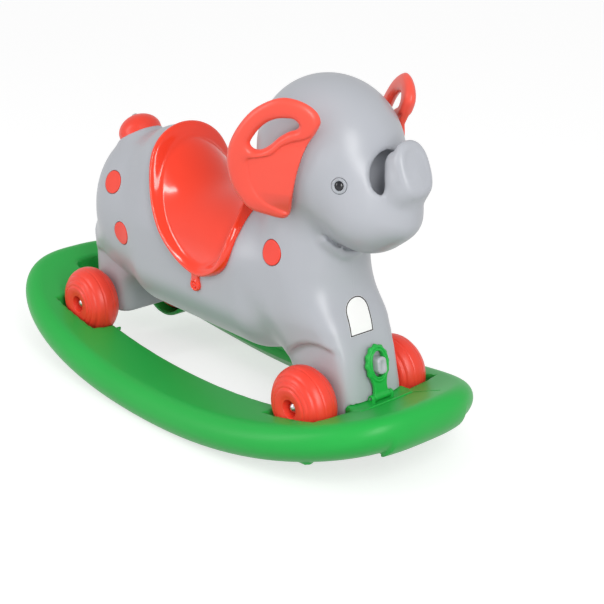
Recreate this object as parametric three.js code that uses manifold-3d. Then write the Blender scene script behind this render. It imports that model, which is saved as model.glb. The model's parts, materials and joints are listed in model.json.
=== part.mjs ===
// Rocking elephant: a moulded ride-on with four wheels, standing in a rocker that comes off.
// Millimetres. +X is the way the elephant faces, +Y its left side, +Z up.
// The origin is on the floor under the middle of the rocker.
import * as THREE from "three";
import { mergeVertices } from "three/addons/utils/BufferGeometryUtils.js";
import Module from "manifold-3d";

// Clearances and cutting allowances
const seatGap = 0.3;
const runningGap = 0.4;
const overrun = 20;

// Sides of the smaller rounds
const roundSides = 12;
const discSides = 14;
const screwSides = 8;

// Rocker
const rockerLength = 800;
const rockerWidth = 338;
const rockerDepth = 50;
const rockerCurveRadius = 1190;
const rockerEdgeRadius = 24;
const rockerOutlineExponent = 2.94;
const rockerSides = 44;
const rockerEdgeSteps = 3;
const rockerFootWidth = 30;
const railWidth = 98;
const lipDrop = 5;
const lipThickness = 15;
const openingRear = -190;
const openingFront = 215;
const slotRear = -352;
const slotWidth = 52;
const cornerRadius = 14;
const cornerSteps = 4;
const stopLength = 36;
const stopWidth = 124;
const stopDrop = 6.5;
const stopCornerRadius = 9;
const runnerPadRadius = 8;
const runnerPadX = 297;
const runnerPadY = 117;
const runnerPadDrop = 1;

// Wheels and axles
const wheelRadius = 50;
const wheelWidth = 54;
const wheelTrack = 155.4;
const wheelFaceRadius = 21;
const wheelHubRadius = 12;
const wheelHubDepth = 16;
const wheelGrooveWidth = 4;
const wheelGrooveDepth = 1.4;
const wheelSides = 20;
const wheelFlankSteps = 3;
const frontAxleX = 247;
const rearAxleX = -227;
const axleHeight = 85.5;
const axleRadius = 4;
const capRadius = 8;
const capLength = 7.5;
const washerRadius = 11;
const washerThickness = 1.2;
const archRadius = 71;
const legHalfWidth = 48.9;

// Pad on the rocker's deck, just ahead of the front legs
const deckPadAhead = 44;
const deckPadRear = frontAxleX + deckPadAhead;
const deckPadLength = 31;
const deckPadWidth = 98;
const deckPadTop = 88.5;

// Wheel wells in the rocker
const wellHalfLength = 58;
const wellSideGap = 1.2;
const cupWall = 5.5;
const cupRimHeight = 58;

// Body masses: centre, then half sizes along X, Y and Z
const rumpX = -180;
const rumpZ = 225;
const rumpHalfLength = 77;
const rumpHalfWidth = 77;
const rumpHalfHeight = 110;
const bellyX = 5;
const bellyZ = 203;
const bellyHalfLength = 175;
const bellyHalfWidth = 80;
const bellyHalfHeight = 98;
const bellyEdgeRadius = 72;
const crestX = -105;
const crestZ = 318;
const crestHalfLength = 58;
const crestHalfWidth = 58;
const crestHalfHeight = 46;
const chestX = 182;
const chestZ = 235;
const chestHalfLength = 68;
const chestHalfWidth = 71;
const chestHalfHeight = 90;
const neckX = 182;
const neckZ = 310;
const neckRadius = 58;
const headAhead = 26;
const headRise = 79;
const headX = neckX + headAhead;
const headZ = neckZ + headRise;
const headHalfLength = 101;
const headHalfWidth = 83;
const headHalfHeight = 95;
const muzzleAhead = 74;
const muzzleDrop = 52;
const muzzleX = headX + muzzleAhead;
const muzzleZ = headZ - muzzleDrop;
const muzzleHalfLength = 60;
const muzzleHalfWidth = 60;
const muzzleHalfHeight = 58;
const trunkBaseAhead = 43;
const trunkBaseDrop = 2;
const trunkBaseX = muzzleX + trunkBaseAhead;
const trunkBaseZ = muzzleZ - trunkBaseDrop;
const trunkBaseRadius = 30;
const trunkTopAhead = 18;
const trunkTopRise = 45;
const trunkTopX = trunkBaseX + trunkTopAhead;
const trunkTopZ = trunkBaseZ + trunkTopRise;
const trunkTopRadius = 19;
const trunkTipAhead = 3;
const trunkTipRise = 15;
const trunkTipX = trunkTopX + trunkTipAhead;
const trunkTipZ = trunkTopZ + trunkTipRise;
const trunkTipHalfLength = 11;
const trunkTipHalfWidth = 24.5;
const trunkTipHalfHeight = 34;
const trunkTipExponent = 2.4;
const trunkTipSides = 24;
const trunkTipRimDepth = 10;
const trunkTipRimRadius = 4;
const trunkTipAngle = 22;
const noseSlotBack = 33;
const noseSlotDrop = 12;
const noseSlotLength = 31;
const noseSlotWidth = 64;
const noseSlotHeight = 84;
const noseSlotSides = 12;
const frontLegSetback = 12.5;
const frontLegX = frontAxleX - frontLegSetback;
const frontLegZ = 130;
const frontLegHalfLength = 55;
const frontLegHalfWidth = 55;
const frontLegHalfHeight = 72;
const frontLegAngle = 12.5;
const rearLegAhead = 3;
const rearLegX = rearAxleX + rearLegAhead;
const rearLegZ = 130;
const rearLegHalfLength = 38;
const rearLegHalfWidth = 52;
const rearLegHalfHeight = 72;
const frontLegEdgeRadius = 32;
const rearLegEdgeRadius = 24;
const legSoleZ = 66;
const toeX = deckPadRear - runningGap;
const toeSoleZ = deckPadTop + seatGap;
const tailBehindRump = 15;
const tailRise = 106;
const tailX = rumpX - tailBehindRump;
const tailZ = rumpZ + tailRise;
const tailRadius = 30;
const tailLength = 40;
const tailAngle = 31;
const bodyBlend = 34;
const headBlend = 26;
const trunkBlend = 16;
const legBlend = 26;
const bodyCell = 20.5;
const skinTolerance = 0.45;
const partTolerance = 0.1;

// Saddle
const saddleAxisZ = 235;
const saddleRearX = -95;
const saddleFrontX = 96;
const saddleFlapX = 45;
const saddleFlapReach = 64;
const saddleFlapAngle = 113.5;
const saddleThickness = 4.5;
const saddleRimWidth = 15;
const saddleRimRise = 3;
const saddleSink = 2;
const saddleRingCount = 22;
const saddleAcrossSteps = 11;
const saddleRearExponent = 1.85;
const saddleFrontExponent = 1.5;
const saddleFrontSharpness = 8;
const saddleTabRadius = 9;
const saddleTabThickness = 4;
const saddleTabX = 34;
const saddleTabZ = 185;

// Ears
const earRootAhead = 30;
const earRootInset = 4;
const earRootRise = 3;
const earFlareAngle = 30;
const earTiltAngle = 11.5;
const earHeight = 159.5;
const earLength = 123;
const earBehindRoot = -31.6;
const earBelowRoot = -73;
const earThickness = 16;
const earRound = 6;
const earRoundSteps = 2;
const earWebDepth = 3.7;
const earCurlLength = 72;
const earCurlReach = 32;
const earCurlSteps = 16;
const earFacet = 20;
const earTolerance = 0.2;
const earOutlinePoints = 28;
const earHolePoints = 14;
const earWebPoints = 14;
const earPegRadius = 5;
const earPegLength = 18;
const earPegSpacing = 34;
const earPegSetback = 14;
const earPegInset = 1.2;

// Eyes, spots and tail cap
const eyeAhead = 78;
const eyeDrop = 16;
const eyeRadius = 9.5;
const eyeSocketDepth = 5;
const pupilRadius = 5.5;
const pupilRise = 2.2;
const spotRadius = 16.3;
const spotThickness = 3;
const spotProud = 0.8;
const rumpSpotX = -172;
const rumpSpotZ = 277;
const thighSpotX = -144;
const thighSpotZ = 210;
const shoulderSpotX = 175;
const shoulderSpotZ = 264;
const tailCapRadius = 31;
const tailCapHeight = 27;
const tailCapSteps = 6;
const screwHeadRadius = 4;
const screwHeadHeight = 2.4;
const screwShankRadius = 2;
const screwLength = 12;

// Latch and its hook
const latchHingeAhead = 13.5;
const latchHingeX = deckPadRear + latchHingeAhead;
const latchHingeRise = 4.9;
const latchHingeZ = deckPadTop + latchHingeRise;
const latchAngle = 11.5;
const latchThickness = 5;
const latchRingWidth = 36.5;
const latchRingHeight = 49;
const latchLength = 66;
const latchNeckWidth = 26;
const latchSlotWidth = 17;
const latchSlotHeight = 33;
const latchWaveDepth = 1;
const latchWaveCount = 12;
const latchRingPoints = 18;
const latchRidgeWidth = 1.6;
const latchRidgeHeight = 1.6;
const latchRidgeInsets = [1.8, 5.6];
const latchKnuckleRadius = 4.5;
const latchPinRadius = 2;
const latchLugThickness = 5;
const hookWidth = 12;
const hookBottom = 29;
const hookTop = 50;
const hookRoot = 22;
const hookTip = 6;

// Shares of the ear's length and height, round its outline and round its grip hole
const earOutlineShares = [
  [0.4, 0], [0.76, 0.05], [0.95, 0.2], [1, 0.44], [0.89, 0.7], [0.69, 0.88],
  [0.34, 1], [0.05, 0.9], [0, 0.8], [0.14, 0.65], [0.26, 0.46], [0.33, 0.23],
];
const earHoleShares = [
  [0.72, 0.59], [0.57, 0.62], [0.24, 0.75], [0.24, 0.81], [0.49, 0.79], [0.66, 0.7],
];
const earFrontEdgeShares = [0.4, -0.1];
const earCurlShares = [0.3, -0.43, -0.85];
const earWebShares = [
  [0.25, 0.09], [0.74, 0.12], [0.85, 0.26], [0.86, 0.45], [0.7, 0.5], [0.4, 0.6], [0.08, 0.6], [0.2, 0.42],
];

// Shares of a piece's radius and height, round its profile
const capProfileShares = [[1, 0], [1, 0.3], [0.72, 0.62], [0.3, 1], [0, 1]];
const capBoreShare = 0.44;
const pupilProfileShares = [[1, 0], [0.8, 0.6], [0.45, 0.9], [0, 1]];
const eyeRingRiseShares = [0.5, 0.33];
const screwHeadProfileShares = [[1, 0], [1, 0.5], [0.6, 1], [0, 1]];

// Shares of the seat's length from its ridge to a flap, and of its rim
const saddleShoulderShare = 0.55;
const saddleRimStartShare = 0.25;
const saddleSpreadShare = 0.3;
const saddleEndShare = 0.995;

const lipShare = 1 / 3;
const waistShare = 0.36;
const tailCutShare = 1.4;
const stepShare = 0.02;
const mergeShare = 1e-5;
const halvings = 60;
const pointSize = 3;
const crossAxes = [[1, 2], [2, 0], [0, 1]];
const degree = Math.PI / 180;
const twoSides = [{ side: "left", sign: 1 }, { side: "right", sign: -1 }];

// Colours
const bodyGrey = new THREE.MeshStandardMaterial({ color: 0xb8babf, roughness: 0.42, metalness: 0 });
const rockerGreen = new THREE.MeshStandardMaterial({ color: 0x2fb04e, roughness: 0.5, metalness: 0 });
const saddleRed = new THREE.MeshStandardMaterial({ color: 0xff4020, roughness: 0.18, metalness: 0 });
const earRed = new THREE.MeshStandardMaterial({ color: 0xff6050, roughness: 0.4, metalness: 0 });
const wheelRed = new THREE.MeshStandardMaterial({ color: 0xff4535, roughness: 0.45, metalness: 0 });
const eyeWhite = new THREE.MeshStandardMaterial({ color: 0xf2f2f2, roughness: 0.25, metalness: 0 });
const pupilBlack = new THREE.MeshStandardMaterial({ color: 0x1c1c20, roughness: 0.1, metalness: 0 });
const brightSteel = new THREE.MeshStandardMaterial({ color: 0xd0d2d4, roughness: 0.25, metalness: 1 });

const wasm = await Module();
wasm.setup();

// Solids

function closedGeometry(geometry) {
  const bare = new THREE.BufferGeometry();
  bare.setAttribute("position", geometry.getAttribute("position").clone());
  if (geometry.index) {
    bare.setIndex(geometry.index.clone());
  }
  const merged = mergeVertices(bare, rockerLength * mergeShare);
  const position = merged.getAttribute("position");
  const corners = [new THREE.Vector3(), new THREE.Vector3(), new THREE.Vector3()];
  const kept = [];
  let volume = 0;
  for (let start = 0; start < merged.index.count; start += corners.length) {
    const ids = corners.map((corner, step) => merged.index.getX(start + step));
    if (ids[0] === ids[1] || ids[1] === ids[2] || ids[2] === ids[0]) {
      continue;
    }
    ids.forEach((id, step) => corners[step].fromBufferAttribute(position, id));
    volume += corners[0].dot(corners[1].clone().cross(corners[2]));
    kept.push(ids);
  }
  const ordered = volume < 0 ? kept.map(([a, b, c]) => [a, c, b]) : kept;
  merged.setIndex(ordered.flat());
  return merged;
}

function solidOf(geometry) {
  const closed = closedGeometry(geometry);
  const vertProperties = new Float32Array(closed.getAttribute("position").array);
  const triVerts = new Uint32Array(closed.index.array);
  return new wasm.Manifold(new wasm.Mesh({ numProp: pointSize, vertProperties, triVerts }));
}

function geometryOf(solid) {
  const { vertProperties, triVerts } = solid.simplify(partTolerance).getMesh();
  const geometry = new THREE.BufferGeometry();
  const position = new THREE.BufferAttribute(new Float32Array(vertProperties), pointSize);
  geometry.setAttribute("position", position);
  geometry.setIndex(new THREE.BufferAttribute(new Uint32Array(triVerts), 1));
  return geometry;
}

function pieceOf(name, geometry, material) {
  const mesh = new THREE.Mesh(geometry, material);
  mesh.name = name;
  return mesh;
}

function moved(geometry, x, y, z) {
  return geometry.clone().translate(x, y, z);
}

function box(lengthX, lengthY, lengthZ) {
  return new THREE.BoxGeometry(lengthX, lengthY, lengthZ);
}

// The corner radius of a many-sided bore whose flats keep clear of a round of the given radius
function aroundRadius(radius) {
  return radius / Math.cos(Math.PI / wheelSides);
}

// A cylinder whose axis is Y
function rodY(radius, length, sides) {
  return new THREE.CylinderGeometry(radius, radius, length, sides);
}

// An outline in the XY plane raised from z = bottom to z = top
function prism(shape, bottom, top) {
  const geometry = new THREE.ExtrudeGeometry(shape,
    { depth: top - bottom, bevelEnabled: false, curveSegments: cornerSteps });
  return geometry.translate(0, 0, bottom);
}

function roundedRectangle(x0, x1, y0, y1, radius) {
  const shape = new THREE.Shape();
  shape.moveTo(x0 + radius, y0);
  shape.lineTo(x1 - radius, y0);
  shape.absarc(x1 - radius, y0 + radius, radius, -Math.PI / 2, 0, false);
  shape.lineTo(x1, y1 - radius);
  shape.absarc(x1 - radius, y1 - radius, radius, 0, Math.PI / 2, false);
  shape.lineTo(x0 + radius, y1);
  shape.absarc(x0 + radius, y1 - radius, radius, Math.PI / 2, Math.PI, false);
  shape.lineTo(x0, y0 + radius);
  shape.absarc(x0 + radius, y0 + radius, radius, Math.PI, -Math.PI / 2, false);
  return shape;
}

// Points round an oval that is the squarer the higher its exponent, as pairs
function ovalPairs(halfWidth, halfHeight, exponent, sides) {
  const power = 2 / exponent;
  const pairs = [];
  for (let side = 0; side < sides; side += 1) {
    const angle = ((side * 2 + 1) / sides) * Math.PI;
    const cosine = Math.cos(angle);
    const sine = Math.sin(angle);
    pairs.push([
      Math.sign(cosine) * Math.abs(cosine) ** power * halfWidth,
      Math.sign(sine) * Math.abs(sine) ** power * halfHeight,
    ]);
  }
  return pairs;
}

// Rings of points joined side to side, with a ladder of faces over each end
function loft(rings) {
  const sides = rings[0].length;
  const index = [];
  const at = (ring, side) => ring * sides + (side % sides);
  for (let ring = 0; ring + 1 < rings.length; ring += 1) {
    for (let side = 0; side < sides; side += 1) {
      index.push(at(ring, side), at(ring, side + 1), at(ring + 1, side + 1));
      index.push(at(ring, side), at(ring + 1, side + 1), at(ring + 1, side));
    }
  }
  for (const [ring, turn] of [[0, true], [rings.length - 1, false]]) {
    for (let step = 0; step < sides / 2 - 1; step += 1) {
      const quad = [step, step + 1, sides - 1 - (step + 1), sides - 1 - step].map((side) => at(ring, side));
      const [a, b, c, d] = turn ? quad.reverse() : quad;
      index.push(a, b, c, a, c, d);
    }
  }
  const geometry = new THREE.BufferGeometry().setFromPoints(rings.flat());
  geometry.setIndex(index);
  return geometry;
}

// Rocker: a long round-edged ring with a curved underside

function curveRise(x) {
  return rockerCurveRadius - Math.sqrt(rockerCurveRadius ** 2 - x ** 2);
}

function rockerOutline(inset, height) {
  const [halfLength, halfWidth] = [rockerLength / 2 - inset, rockerWidth / 2 - inset];
  const pairs = ovalPairs(halfLength, halfWidth, rockerOutlineExponent, rockerSides);
  return pairs.map(([x, y]) => new THREE.Vector3(x, y, height + curveRise(x)));
}

function rockerPillow() {
  const middle = rockerDepth / 2;
  const innermost = rockerWidth / 2 - lipDrop;
  const underside = rockerDepth - lipDrop - lipThickness;
  const rings = [
    rockerOutline(innermost, underside),
    rockerOutline(railWidth, underside),
    rockerOutline(rockerEdgeRadius + rockerFootWidth, 0),
  ];
  for (let step = 0; step <= rockerEdgeSteps * 2; step += 1) {
    const turn = (step / rockerEdgeSteps - 1) * (Math.PI / 2);
    const inset = rockerEdgeRadius * (1 - Math.cos(turn));
    rings.push(rockerOutline(inset, middle + middle * Math.sin(turn)));
  }
  rings.push(rockerOutline((rockerEdgeRadius + railWidth) / 2, rockerDepth - lipDrop * lipShare));
  rings.push(rockerOutline(railWidth, rockerDepth - lipDrop));
  rings.push(rockerOutline(innermost, rockerDepth - lipDrop));
  return solidOf(loft(rings));
}

function wheelCentres() {
  const ends = [["front", frontAxleX], ["rear", rearAxleX]];
  return ends.flatMap(([end, x]) => twoSides.map(({ side, sign }) => {
    const y = (sign * wheelTrack) / 2;
    return { end, side, sign, x, y };
  }));
}

// A block in the shape of the pillow that hangs below the rocker's front end
function makeStop(pillow) {
  const shape = roundedRectangle(rockerLength / 2 - stopLength, rockerLength / 2 + overrun,
    -stopWidth / 2, stopWidth / 2, stopCornerRadius);
  return pillow.translate(0, 0, -stopDrop).intersect(solidOf(prism(shape, 0, rockerLength)));
}

function makeRocker() {
  const top = rockerDepth + curveRise(rockerLength / 2) + overrun;
  const railInner = rockerWidth / 2 - railWidth;
  const between = (wheelTrack - wheelWidth) / 2 - wellSideGap;
  const wellRear = rearAxleX - wellHalfLength;
  const pillow = rockerPillow();
  let rocker = pillow.add(makeStop(pillow));
  const wellWidth = wheelWidth + wellSideGap * 2;
  for (const { x, y, sign } of wheelCentres()) {
    const wellY = y + (sign * wellWidth) / 2;
    const cup = rodY(aroundRadius(wheelRadius + seatGap + cupWall), wellWidth, wheelSides);
    const below = box(wellHalfLength * 2 + overrun, rockerWidth, cupRimHeight);
    const lower = solidOf(moved(below, x, 0, cupRimHeight / 2));
    const cupSolid = solidOf(moved(cup, x, y, axleHeight)).intersect(lower);
    const wellShape = roundedRectangle(x - wellHalfLength, x + wellHalfLength,
      Math.min(wellY, 0), Math.max(wellY, 0), cornerRadius);
    const bore = rodY(aroundRadius(wheelRadius + seatGap), wellWidth + seatGap, wheelSides);
    rocker = rocker.subtract(solidOf(prism(wellShape, cupRimHeight, top)));
    rocker = rocker.add(cupSolid);
    rocker = rocker.subtract(solidOf(moved(bore, x, y, axleHeight)));
  }
  const openings = [
    roundedRectangle(openingRear, openingFront, -railInner, railInner, cornerRadius),
    roundedRectangle(wellRear, deckPadRear, -between, between, cornerRadius),
    roundedRectangle(slotRear, wellRear + overrun * 2, -slotWidth / 2, slotWidth / 2, cornerRadius),
  ];
  for (const shape of openings) {
    rocker = rocker.subtract(solidOf(prism(shape, -overrun, top)));
  }
  const padHeight = rockerDepth / 2;
  const deckPad = box(deckPadLength, deckPadWidth, padHeight);
  const deckPadX = deckPadRear + deckPadLength / 2;
  rocker = rocker.add(solidOf(moved(deckPad, deckPadX, 0, deckPadTop - padHeight / 2)));
  for (const { sign } of twoSides) {
    const pad = new THREE.CylinderGeometry(runnerPadRadius, runnerPadRadius, padHeight, roundSides);
    pad.rotateX(Math.PI / 2);
    const padZ = curveRise(runnerPadX) - runnerPadDrop + padHeight / 2;
    rocker = rocker.add(solidOf(moved(pad, runnerPadX, sign * runnerPadY, padZ)));
    const lugHeight = latchHingeRise + padHeight / 2;
    const lugY = sign * (latchNeckWidth / 2 + runningGap + latchLugThickness / 2);
    const lug = box(latchKnuckleRadius * 2, latchLugThickness, lugHeight);
    const crown = rodY(latchKnuckleRadius, latchLugThickness, roundSides);
    rocker = rocker.add(solidOf(moved(lug, latchHingeX, lugY, latchHingeZ - lugHeight / 2)));
    rocker = rocker.add(solidOf(moved(crown, latchHingeX, lugY, latchHingeZ)));
  }
  const pinHole = rodY(latchPinRadius + seatGap, latchNeckWidth * 2, roundSides);
  return rocker.subtract(solidOf(moved(pinHole, latchHingeX, 0, latchHingeZ)));
}

// Body: rounded masses run into one another as in a blow mould

function ellipsoid(x, y, z, rx, ry, rz) {
  const q = Math.hypot(x / rx, y / ry, z / rz);
  const g = Math.hypot(x / rx ** 2, y / ry ** 2, z / rz ** 2);
  return g < Number.EPSILON ? -Math.min(rx, ry, rz) : (q * (q - 1)) / g;
}

function roundedBlock(x, y, z, hx, hy, hz, radius) {
  const qx = Math.abs(x) - hx + radius;
  const qy = Math.abs(y) - hy + radius;
  const qz = Math.abs(z) - hz + radius;
  const outside = Math.hypot(Math.max(qx, 0), Math.max(qy, 0), Math.max(qz, 0));
  return outside + Math.min(Math.max(qx, qy, qz), 0) - radius;
}

// A cone with round ends, from (x0, z0) with radius r0 to (x1, z1) with radius r1, in the plane y = 0
function roundCone(x, y, z, x0, z0, r0, x1, z1, r1) {
  const dx = x1 - x0;
  const dz = z1 - z0;
  const length = Math.hypot(dx, dz);
  const along = THREE.MathUtils.clamp(((x - x0) * dx + (z - z0) * dz) / length ** 2, 0, 1);
  const px = x - x0 - dx * along;
  const pz = z - z0 - dz * along;
  return Math.hypot(px, y, pz) - (r0 + (r1 - r0) * along);
}

function blend(a, b, reach) {
  const h = Math.max(reach - Math.abs(a - b), 0) / reach;
  return Math.min(a, b) - (h / 2) ** 2 * reach;
}

function bodyField(x, y, z) {
  let d = ellipsoid(x - rumpX, y, z - rumpZ, rumpHalfLength, rumpHalfWidth, rumpHalfHeight);
  d = blend(d, roundedBlock(x - bellyX, y, z - bellyZ,
    bellyHalfLength, bellyHalfWidth, bellyHalfHeight, bellyEdgeRadius), bodyBlend);
  d = blend(d, ellipsoid(x - crestX, y, z - crestZ,
    crestHalfLength, crestHalfWidth, crestHalfHeight), bodyBlend);
  d = blend(d, ellipsoid(x - chestX, y, z - chestZ,
    chestHalfLength, chestHalfWidth, chestHalfHeight), bodyBlend);
  const frontLean = (z - frontLegZ) * Math.tan(frontLegAngle * degree);
  d = blend(d, roundedBlock(x - frontLegX + frontLean, y, z - frontLegZ,
    frontLegHalfLength, frontLegHalfWidth, frontLegHalfHeight, frontLegEdgeRadius), legBlend);
  d = blend(d, roundedBlock(x - rearLegX, y, z - rearLegZ,
    rearLegHalfLength, rearLegHalfWidth, rearLegHalfHeight, rearLegEdgeRadius), legBlend);
  d = blend(d, Math.hypot(x - neckX, y, z - neckZ) - neckRadius, bodyBlend);
  d = blend(d, ellipsoid(x - headX, y, z - headZ, headHalfLength, headHalfWidth, headHalfHeight), headBlend);
  d = blend(d, ellipsoid(x - muzzleX, y, z - muzzleZ,
    muzzleHalfLength, muzzleHalfWidth, muzzleHalfHeight), headBlend);
  d = blend(d, roundCone(x, y, z, trunkBaseX, trunkBaseZ, trunkBaseRadius,
    trunkTopX, trunkTopZ, trunkTopRadius), trunkBlend);
  const tipLean = trunkTipAngle * degree;
  const alongTip = (x - trunkTipX) * Math.cos(tipLean) + (z - trunkTipZ) * Math.sin(tipLean);
  const acrossTip = (z - trunkTipZ) * Math.cos(tipLean) - (x - trunkTipX) * Math.sin(tipLean);
  const behindRim = trunkTipHalfLength - trunkTipRimRadius;
  d = blend(d, roundedBlock(alongTip, y, acrossTip, behindRim, trunkTipHalfWidth - trunkTipRimRadius,
    trunkTipHalfHeight - trunkTipRimRadius, behindRim), trunkBlend / 2);
  const tailBaseX = tailX + Math.sin(tailAngle * degree) * tailLength;
  const tailBaseZ = tailZ - Math.cos(tailAngle * degree) * tailLength;
  d = blend(d, roundCone(x, y, z, tailBaseX, tailBaseZ, tailRadius, tailX, tailZ, tailRadius), trunkBlend);
  return d;
}

function fieldNormal(field, point) {
  const step = bodyCell * stepShare;
  const { x, y, z } = point;
  return new THREE.Vector3(
    field(x + step, y, z) - field(x - step, y, z),
    field(x, y + step, z) - field(x, y - step, z),
    field(x, y, z + step) - field(x, y, z - step),
  ).normalize();
}

// The twelve edges of a grid cell, each a pair of corners, and its six faces, each four edges
function cellFrame() {
  const ends = [0, 1];
  const corners = ends.flatMap((k) => ends.flatMap((j) => ends.map((i) => [i, j, k])));
  const edges = [];
  for (const from of corners) {
    for (let axis = 0; axis < from.length; axis += 1) {
      if (from[axis] === 0) {
        edges.push({ from, to: from.map((value, other) => (other === axis ? 1 : value)), axis });
      }
    }
  }
  const faces = [];
  for (let axis = 0; axis < crossAxes.length; axis += 1) {
    for (const side of ends) {
      faces.push(edges.filter(({ from, to }) => from[axis] === side && to[axis] === side));
    }
  }
  return { edges, faces };
}

// The crossed edges of one cell, grouped by the sheet of the surface that passes through them
function cellSheets(crossing, faces, valueAt) {
  const sheetOf = new Map(crossing.map((edge) => [edge, edge]));
  const join = (first, second) => {
    const [kept, dropped] = [sheetOf.get(first), sheetOf.get(second)];
    crossing.filter((edge) => sheetOf.get(edge) === dropped).forEach((edge) => sheetOf.set(edge, kept));
  };
  for (const face of faces) {
    const cut = face.filter((edge) => sheetOf.has(edge));
    for (const first of cut) {
      for (const second of cut) {
        const ends = [second.from.join(), second.to.join()];
        const shared = [first.from, first.to].find((corner) => ends.includes(corner.join()));
        if (cut.length === 2 || (shared && valueAt(shared) < 0)) {
          join(first, second);
        }
      }
    }
  }
  const sheets = new Set(sheetOf.values());
  return [...sheets].map((sheet) => crossing.filter((edge) => sheetOf.get(edge) === sheet));
}

// The surface where a field is zero: each grid cell has one point for each sheet that passes through
// it, and each grid edge that crosses the surface has one four-sided face
function surfaceNet(field, low, high, cell) {
  const counts = high.clone().sub(low).divideScalar(cell).toArray().map(Math.ceil);
  const [nx, ny, nz] = counts.map((count) => count + 1);
  const node = (i, j, k) => (k * ny + j) * nx + i;
  const place = (i, j, k) => new THREE.Vector3(low.x + i * cell, low.y + j * cell, low.z + k * cell);
  const values = new Float64Array(nx * ny * nz);
  for (let k = 0; k < nz; k += 1) {
    for (let j = 0; j < ny; j += 1) {
      for (let i = 0; i < nx; i += 1) {
        const point = place(i, j, k);
        values[node(i, j, k)] = field(point.x, point.y, point.z);
      }
    }
  }
  const { edges, faces } = cellFrame();
  const points = [];
  const sheetPoint = new Map();
  const keyOf = (i, j, k, edge) => node(i, j, k) * edges.length + edge;
  for (let k = 0; k + 1 < nz; k += 1) {
    for (let j = 0; j + 1 < ny; j += 1) {
      for (let i = 0; i + 1 < nx; i += 1) {
        const valueAt = (corner) => values[node(i + corner[0], j + corner[1], k + corner[2])];
        const crossing = edges.filter(({ from, to }) => valueAt(from) < 0 !== valueAt(to) < 0);
        for (const members of cellSheets(crossing, faces, valueAt)) {
          const sum = new THREE.Vector3();
          for (const edge of members) {
            const { from, to } = edge;
            sheetPoint.set(keyOf(i, j, k, edges.indexOf(edge)), points.length);
            const start = place(i + from[0], j + from[1], k + from[2]);
            const end = place(i + to[0], j + to[1], k + to[2]);
            sum.add(start.lerp(end, valueAt(from) / (valueAt(from) - valueAt(to))));
          }
          const point = sum.divideScalar(members.length);
          point.addScaledVector(fieldNormal(field, point), -field(point.x, point.y, point.z));
          points.push(point);
        }
      }
    }
  }
  const index = [];
  edges.forEach(({ from, axis }) => {
    if (from.some((value) => value !== 0)) {
      return;
    }
    const [u, v] = crossAxes[axis];
    const around = [[0, 0], [-1, 0], [-1, -1], [0, -1]];
    for (let k = 1; k + 1 < nz; k += 1) {
      for (let j = 1; j + 1 < ny; j += 1) {
        for (let i = 1; i + 1 < nx; i += 1) {
          const far = [i, j, k];
          far[axis] += 1;
          const inside = values[node(i, j, k)] < 0;
          if (inside === values[node(...far)] < 0) {
            continue;
          }
          const ids = around.map(([du, dv]) => {
            const at = [i, j, k];
            at[u] += du;
            at[v] += dv;
            const corner = [0, 0, 0];
            corner[u] = -du;
            corner[v] = -dv;
            const own = edges.findIndex((other) => other.axis === axis
              && other.from.join() === corner.join());
            return sheetPoint.get(keyOf(...at, own));
          });
          const [a, b, c, d] = inside ? ids : ids.reverse();
          const shortFirst = points[a].distanceTo(points[c]) < points[b].distanceTo(points[d]);
          index.push(...(shortFirst ? [a, b, c, a, c, d] : [b, c, d, b, d, a]));
        }
      }
    }
  });
  const geometry = new THREE.BufferGeometry().setFromPoints(points);
  geometry.setIndex(index);
  return geometry;
}

function bodyGeometry() {
  const reach = bodyCell * 2;
  const halfWidth = Math.ceil((Math.max(headHalfWidth, bellyHalfWidth) + reach) / bodyCell) * bodyCell;
  const rearmost = Math.min(rumpX - rumpHalfLength, rearLegX - rearLegHalfLength, tailX - tailRadius * 2);
  const low = new THREE.Vector3(rearmost - reach, -halfWidth, legSoleZ - reach * 2);
  const foremost = trunkTipX + trunkTipHalfHeight;
  const high = new THREE.Vector3(foremost + reach, halfWidth, headZ + headHalfHeight + reach);
  return geometryOf(solidOf(surfaceNet(bodyField, low, high, bodyCell)).simplify(skinTolerance));
}

function inflated(geometry, gap) {
  const position = geometry.getAttribute("position");
  const grown = geometry.clone();
  const point = new THREE.Vector3();
  for (let id = 0; id < position.count; id += 1) {
    point.fromBufferAttribute(position, id);
    point.addScaledVector(fieldNormal(bodyField, point), gap);
    grown.getAttribute("position").setXYZ(id, point.x, point.y, point.z);
  }
  return grown;
}

// The point where a ray from (x, 0, z) along a direction leaves the body, with the surface's normal
function surfaceSpot(x, z, direction) {
  let outside = rockerWidth;
  let inside = 0;
  for (let step = 0; step < halvings; step += 1) {
    const middle = (outside + inside) / 2;
    const value = bodyField(x + direction.x * middle, direction.y * middle, z + direction.z * middle);
    [outside, inside] = value > 0 ? [middle, inside] : [outside, middle];
  }
  const point = new THREE.Vector3(x, 0, z).addScaledVector(direction, outside);
  return { point, normal: fieldNormal(bodyField, point) };
}

function sideSpot(x, z, sign) {
  return surfaceSpot(x, z, new THREE.Vector3(0, sign, 0));
}

// Turns a geometry made round the Y axis so that the axis follows the normal at a point
function seated(geometry, { point, normal }) {
  const turn = new THREE.Quaternion().setFromUnitVectors(new THREE.Vector3(0, 1, 0), normal);
  return geometry.clone().applyQuaternion(turn).translate(point.x, point.y, point.z);
}

// A turned piece from its profile, given as pairs of radius and height
function turned(pairs, sides) {
  const profile = pairs.map(([radius, height]) => new THREE.Vector2(radius, height));
  return new THREE.LatheGeometry(profile, sides);
}

function plug(radius, bottom, top, sides) {
  return turned([[0, bottom], [radius, bottom], [radius, top], [0, top]], sides);
}

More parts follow.
